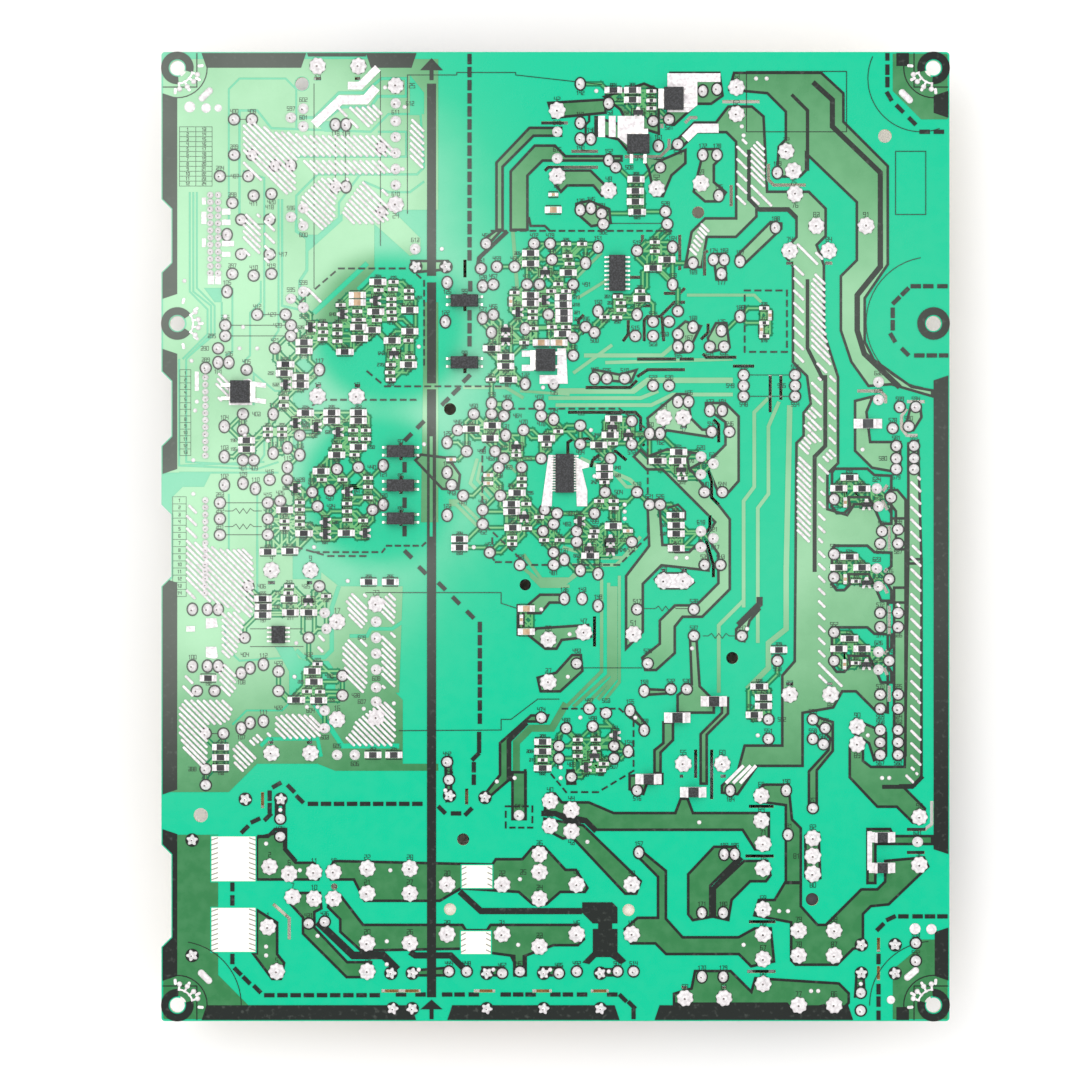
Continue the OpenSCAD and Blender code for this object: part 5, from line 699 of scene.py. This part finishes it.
# Longer drops beside the four corner holes, and the round marks that cameras line the board up by.
drop = turned([(1.0, 0), (0.96, 0.2), (0.7, 0.45), (0.35, 0.55), (0, 0.58)], 20)
for x, y, turn in [(-98.5, 124.5, 45), (98.7, 124, -45), (-98.7, -124, -45), (100.3, -123.2, 40)]:
    for k in range(-3, 4):
        along = math.radians(turn)
        stamp(dots, drop, Matrix.Translation(((x + k * 0.5 * math.cos(along)) / 1000,
                                              (y + k * 0.5 * math.sin(along)) / 1000, 0.0001)))
for x, y, r in [(-103, 121, 1.6), (-95, 120.7, 1.1), (-98.4, 120.7, 1.4), (105.9, -110.6, 1.5),
                (101.3, -110.5, 1.6), (94.5, -130.5, 1.2)]:
    stamp(dots, dome, Matrix.Translation((x / 1000, y / 1000, 0.0001))
          @ Matrix.Diagonal((r / 0.62, r / 0.62, 0.8, 1)))
# Four tinned fingers beside the lobe of each fixing hole, each ending in a drop.
land_z, land_r, land_inner, finger_end, finger_w = 0.225, 4.7, 4.2, 6.0, 0.6
lands = bmesh.new()
for x, y in fixing_holes:
    if x > 0 and abs(y) < 100:
        continue
    inward = math.degrees(math.atan2(-y if abs(y) > 100 else 0, -x))
    disc(lands, x, y, land_z, land_r, land_inner, inward - lobe_half, inward + lobe_half)
    for turn in (-33, -11, 11, 33):
        along = math.radians(inward + turn)
        points = [(x + r * math.cos(along), y + r * math.sin(along)) for r in (4.4, finger_end)]
        stroke(lands, points, finger_w, land_z)
        stamp(dots, dome, Matrix.Translation((points[1][0] / 1000, points[1][1] / 1000, 0.0001))
              @ Matrix.Diagonal((1.25, 1.25, 1.6, 1)))
piece("test_domes", dots, solder)
piece("hole_fingers", lands, solder, smooth=False)

# ---- Tinned copper --------------------------------------------------------------------------
# Copper left bare of mask, which the solder wave coated: narrow tracks, lands round the fixing
# holes, and rows of slanting stripes where the solder stands as long low beads.

bead_bm = bmesh.new()
bead = [(0.42, 0), (0.4, 0.1), (0.31, 0.18), (0.16, 0.24), (0, 0.26)]
bead_round = 16
slant = np.array([1.0, -1.0]) / math.sqrt(2)
upward = np.array([1.0, 1.0]) / math.sqrt(2)


def lay_bead(start, end, side, z):
    """A bead of solder from start to end along the slant, side away from it."""
    rows = []
    for r, rise in bead:
        ring = []
        for i in range(bead_round):
            turn = 2 * math.pi * (i + 0.5) / bead_round
            u = math.cos(turn) * r / 1000 + (end if math.cos(turn) > 0 else start)
            x, y = u * slant + (math.sin(turn) * r / 1000 + side) * upward
            ring.append(bead_bm.verts.new((x, y, z + rise / 1000)))
        rows.append(ring)
    for a, b in zip(rows, rows[1:]):
        for i in range(bead_round):
            j = (i + 1) % bead_round
            bead_bm.faces.new((a[i], a[j], b[j], b[i]))


# Each striped area has a bead on every stripe and one midway between two neighbours. In metres:
# how far a bead stays from the ends, its shortest length, the pitch of stripes side by side, and
# how near and how far a neighbour lies.
end_gap, least_run, stripe_pitch = 0.0005, 0.0002, 0.0012
near_side, far_side = 0.002, 0.0029
runs = []
for part in solids("solder_stripes"):
    along, across = part[:, :2] @ slant, part[:, :2] @ upward
    start, end = along.min() + end_gap, along.max() - end_gap
    if end - start < least_run:
        continue
    count = max(1, round((across.max() - across.min()) / stripe_pitch))
    for k in range(count):
        side = across.min() + (across.max() - across.min()) * (k + 0.5) / count
        runs.append((start, end, side, part[:, 2].min()))
        lay_bead(*runs[-1])
for start, end, side, z in runs:
    for other_start, other_end, other_side, _ in runs:
        shared = min(end, other_end) - max(start, other_start)
        longer = max(end - start, other_end - other_start)
        if near_side < other_side - side < far_side and shared > 0.4 * longer:
            lay_bead((start + other_start) / 2, (end + other_end) / 2, (side + other_side) / 2, z)
bmesh.ops.remove_doubles(bead_bm, verts=bead_bm.verts, dist=0.000001)
piece("stripe_beads", bead_bm, solder, replaced=("solder_stripes",))
dress("tinned_tracks", solder)
dress("hole_contacts", solder)

# ---- Chips on the solder side ---------------------------------------------------------------
# Thick-film resistors and fired capacitors with tinned end caps, glued down and wave soldered:
# each end sits in a bright fillet.


def body_material(name, tone, other, roughness=0.5, coat=0.0, grain=600.0, relief=0.1):
    """Moulded, fired or painted surface with a little variation."""
    made, tree, place, shader = blank(name)
    cloud = add(tree, "ShaderNodeTexNoise",
                {"Vector": place.outputs["Object"], "Scale": grain, "Detail": 4.0})
    mottle = add(tree, "ShaderNodeMapRange",
                 {"Value": cloud.outputs["Fac"], "From Min": 0.4, "From Max": 0.65},
                 interpolation_type="SMOOTHSTEP")
    colour = add(tree, "ShaderNodeMix",
                 {0: mottle.outputs["Result"], 6: linear(tone), 7: linear(other)},
                 data_type="RGBA")
    tree.links.new(colour.outputs[2], shader.inputs["Base Color"])
    rough = add(tree, "ShaderNodeMapRange",
                {"Value": cloud.outputs["Fac"], "From Min": 0.3, "From Max": 0.7,
                 "To Min": roughness * 0.85, "To Max": roughness * 1.15},
                interpolation_type="SMOOTHSTEP")
    tree.links.new(rough.outputs["Result"], shader.inputs["Roughness"])
    shader.inputs["Coat Weight"].default_value = coat
    bump = add(tree, "ShaderNodeBump", {"Height": cloud.outputs["Fac"], "Strength": relief,
                                        "Distance": 0.0002})
    tree.links.new(bump.outputs["Normal"], shader.inputs["Normal"])
    return made


black_epoxy = body_material("black_epoxy", "0D0E0F", "3A3B3E", 0.6, grain=2600.0, relief=0.3)
dress("chip_resistors", body_material("resistor_glaze", "141617", "2A2C2D", 0.35, 0.2))
dress("sense_resistor", body_material("sense_glaze", "26282A", "3A3C3E", 0.35, 0.4))
dress("chip_capacitors", body_material("fired_ceramic", "A88968", "BFA281", 0.5))
for node in ("chip_diodes", "small_transistors", "power_diodes"):
    dress(node, black_epoxy)

# Tinned end caps, each a share of its chip's length. They stand a hair proud of the body.
proud = Vector((0.00005, 0.00005, 0.00004))
caps = bmesh.new()
for source, share in [("chip_resistors", 0.15), ("chip_capacitors", 0.18), ("sense_resistor", 0.15),
                      ("chip_diodes", 0.16), ("power_diodes", 0.14)]:
    for row in islands(source):
        lo, hi = Vector(row[:3]), Vector(row[3:])
        span = hi - lo
        long = 0 if span.x > span.y else 1
        for end in (0, 1):
            a, b = lo.copy(), hi.copy()
            if end:
                a[long] = hi[long] - span[long] * share
            else:
                b[long] = lo[long] + span[long] * share
            a, b = a - proud, b + proud
            centre, box = (a + b) / 2, b - a
            bmesh.ops.create_cube(caps, size=1, matrix=Matrix.Translation(centre)
                                  @ Matrix.Diagonal((*box, 1)))
piece("end_caps", caps, solder, smooth=False)
dress("chip_solder", solder)

# ---- Integrated circuits and power packages -------------------------------------------------
# Moulded epoxy bodies with tinned leads, and optocouplers that bridge the isolation gap.

for node in ("power_transistors", "optocouplers", "controller_ic", "sixteen_pin_ic",
             "eight_pin_ic"):
    dress(node, black_epoxy)
dress("ic_leads", tin)
mark_r, mark_x, mark_y, mark_z = 0.0004, 0.0009, 0.0008, 0.00001
marks = bmesh.new()
for node in ("controller_ic", "sixteen_pin_ic", "eight_pin_ic", "optocouplers"):
    for row in islands(node):
        spot = Vector((row[0] + mark_x, row[4] - mark_y, row[5] + mark_z))
        bmesh.ops.create_circle(marks, cap_ends=True, segments=20, radius=mark_r,
                                matrix=Matrix.Translation(spot))
piece("pin_one_marks", marks, body_material("mark_recess", "3B3D40", "45474A", 0.6),
      smooth=False)

# ---- Leads, wires and pins ------------------------------------------------------------------
# The legs of the parts on the other side, wire jumpers and stamped header pins: copper or brass,
# tinned, pushed through the laminate before it is soldered.

for node in ("component_leads", "jumper_wires", "header_pins"):
    dress(node, tin)

# ---- Heatsinks and the devices on them ------------------------------------------------------
# Extruded aluminium, sawn to length and tumbled, which gives a soft satin grain. The epoxy packages
# are screwed on under the web.

aluminium = metal_material("extruded_aluminium", "C6C9CC", "A9ADB1", 0.38, 400.0, 0.1)
for node in ("output_heatsink", "standby_heatsink", "bus_heatsink", "input_heatsink",
             "driver_heatsink"):
    dress(node, aluminium)
dress("power_packages", body_material("package_epoxy", "232529", "303236", 0.5))
dress("bridge_rectifiers", body_material("rectifier_epoxy", "1F2124", "2B2D30", 0.5))
dress("heatsink_screws", metal_material("zinc_plate", "D2D4D3", "B4B6B3", 0.3, 800.0, 0.1))

# ---- Wound parts ----------------------------------------------------------------------------
# Sintered ferrite cores in black phenolic bobbins. The transformers' windings are wrapped in
# yellow tape, and those of the choke and filters are bare enamelled wire.

ferrite = body_material("ferrite", "38393C", "4A4B4E", 0.4, 0.0, 1500.0, 0.3)
phenolic = body_material("phenolic", "26272A", "313236", 0.42, 0.1)
nylon = body_material("white_nylon", "ECEBE6", "DFDDD5", 0.45)


def wound_material(name, tone, dark, pitch, coat):
    """Turns or tape layers side by side along one direction."""
    made, tree, place, shader = blank(name)
    rows = add(tree, "ShaderNodeTexWave",
               {"Vector": place.outputs["Object"], "Scale": pitch, "Distortion": 0.6,
                "Detail": 1.0}, bands_direction="DIAGONAL")
    colour = add(tree, "ShaderNodeMix",
                 {0: rows.outputs["Fac"], 6: linear(tone), 7: linear(dark)}, data_type="RGBA")
    tree.links.new(colour.outputs[2], shader.inputs["Base Color"])
    shader.inputs["Roughness"].default_value = 0.3
    shader.inputs["Coat Weight"].default_value = coat
    bump = add(tree, "ShaderNodeBump", {"Height": rows.outputs["Fac"], "Strength": 0.5,
                                        "Distance": 0.0004})
    tree.links.new(bump.outputs["Normal"], shader.inputs["Normal"])
    return made


for node in ("transformer_cores", "choke_core", "filter_cores"):
    dress(node, ferrite)
for node in ("transformer_bobbins", "choke_bobbin"):
    dress(node, phenolic)
dress("filter_bases", nylon)
dress("transformer_windings", wound_material("winding_tape", "E8BE3F", "D2A62E", 40.0, 0.5))
copper_wire = wound_material("enamelled_wire", "C87838", "8C4A1E", 300.0, 0.6)
dress("choke_winding", copper_wire)
dress("filter_windings", copper_wire)

# ---- Capacitors -----------------------------------------------------------------------------
# Aluminium cans in shrunk sleeves, film capacitors in moulded boxes, and ceramic discs dipped in
# tan resin.

sleeve = body_material("can_sleeve", "24303F", "2C3A4B", 0.35, 0.3)
for node in ("bulk_capacitor", "output_capacitors", "small_capacitors"):
    dress(node, sleeve)
dress("x_capacitors", body_material("film_box", "D9B23C", "C9A02E", 0.4, 0.2))
dress("y_capacitors", body_material("dipped_ceramic", "CFA36A", "BE8F55", 0.35, 0.3))

# ---- Relay, fuse and headers ----------------------------------------------------------------
# A relay in a moulded blue case, a glass fuse in tinned spring clips, and pin headers in white
# nylon.

dress("relay", body_material("relay_case", "2A5F9E", "244F86", 0.4, 0.2))
dress("fuse", body_material("fuse_tube", "DDE6E4", "CBD6D4", 0.1, 0.8))
dress("fuse_clips", tin)
dress("inlet_header", nylon)
dress("board_headers", nylon)

# ---- Floor, light and camera ----------------------------------------------------------------
# A plain pale floor under the board, one broad soft light from the upper left with a weak fill
# from the lower right, a bright even sky, and a long lens straight above.

floor_mesh = bpy.data.meshes.new("floor")
floor_bm = bmesh.new()
bmesh.ops.create_grid(floor_bm, x_segments=1, y_segments=1, size=3.0,
                      matrix=Matrix.Translation((0, 0, size_before[0].z)))
floor_bm.to_mesh(floor_mesh)
floor_bm.free()
floor = bpy.data.objects.new("floor", floor_mesh)
bpy.context.scene.collection.objects.link(floor)
paper, paper_tree, paper_place, paper_shader = blank("pale_floor")
paper_cloud = add(paper_tree, "ShaderNodeTexNoise",
                  {"Vector": paper_place.outputs["Object"], "Scale": 3.0})
paper_tone = add(paper_tree, "ShaderNodeMix",
                 {0: paper_cloud.outputs["Fac"], 6: linear("F1F1F1"), 7: linear("EEEEEE")},
                 data_type="RGBA")
paper_tree.links.new(paper_tone.outputs[2], paper_shader.inputs["Base Color"])
paper_shader.inputs["Roughness"].default_value = 0.9
floor_mesh.materials.append(paper)

sky_strength = 1.12
world = bpy.data.worlds.new("studio")
bpy.context.scene.world = world
world.use_nodes = True
world.node_tree.nodes["Background"].inputs["Color"].default_value = (1, 1, 1, 1)
world.node_tree.nodes["Background"].inputs["Strength"].default_value = sky_strength


def panel(name, place, aim, size, power):
    """A soft rectangular light aimed at a spot."""
    data = bpy.data.lights.new(name, "AREA")
    data.shape = "RECTANGLE"
    data.size, data.size_y = size
    data.energy = power
    made = bpy.data.objects.new(name, data)
    made.location = place
    made.rotation_euler = (Vector(aim) - Vector(place)).to_track_quat("-Z", "Y").to_euler()
    bpy.context.scene.collection.objects.link(made)


panel("broad_light", (-0.45, 0.4, 1.3), (0, 0, 0), (0.9, 0.9), 6)
panel("fill_light", (0.9, -0.5, 1.0), (0, 0, 0), (0.8, 0.8), 2)

lens_length = 142
aim_x, aim_y, camera_z = -0.00435, -0.00098, 1.2
camera_data = bpy.data.cameras.new("camera")
camera_data.lens = lens_length
camera = bpy.data.objects.new("camera", camera_data)
camera.location = (aim_x, aim_y, camera_z)
bpy.context.scene.collection.objects.link(camera)
bpy.context.scene.camera = camera
bpy.context.scene.view_settings.view_transform = "Standard"
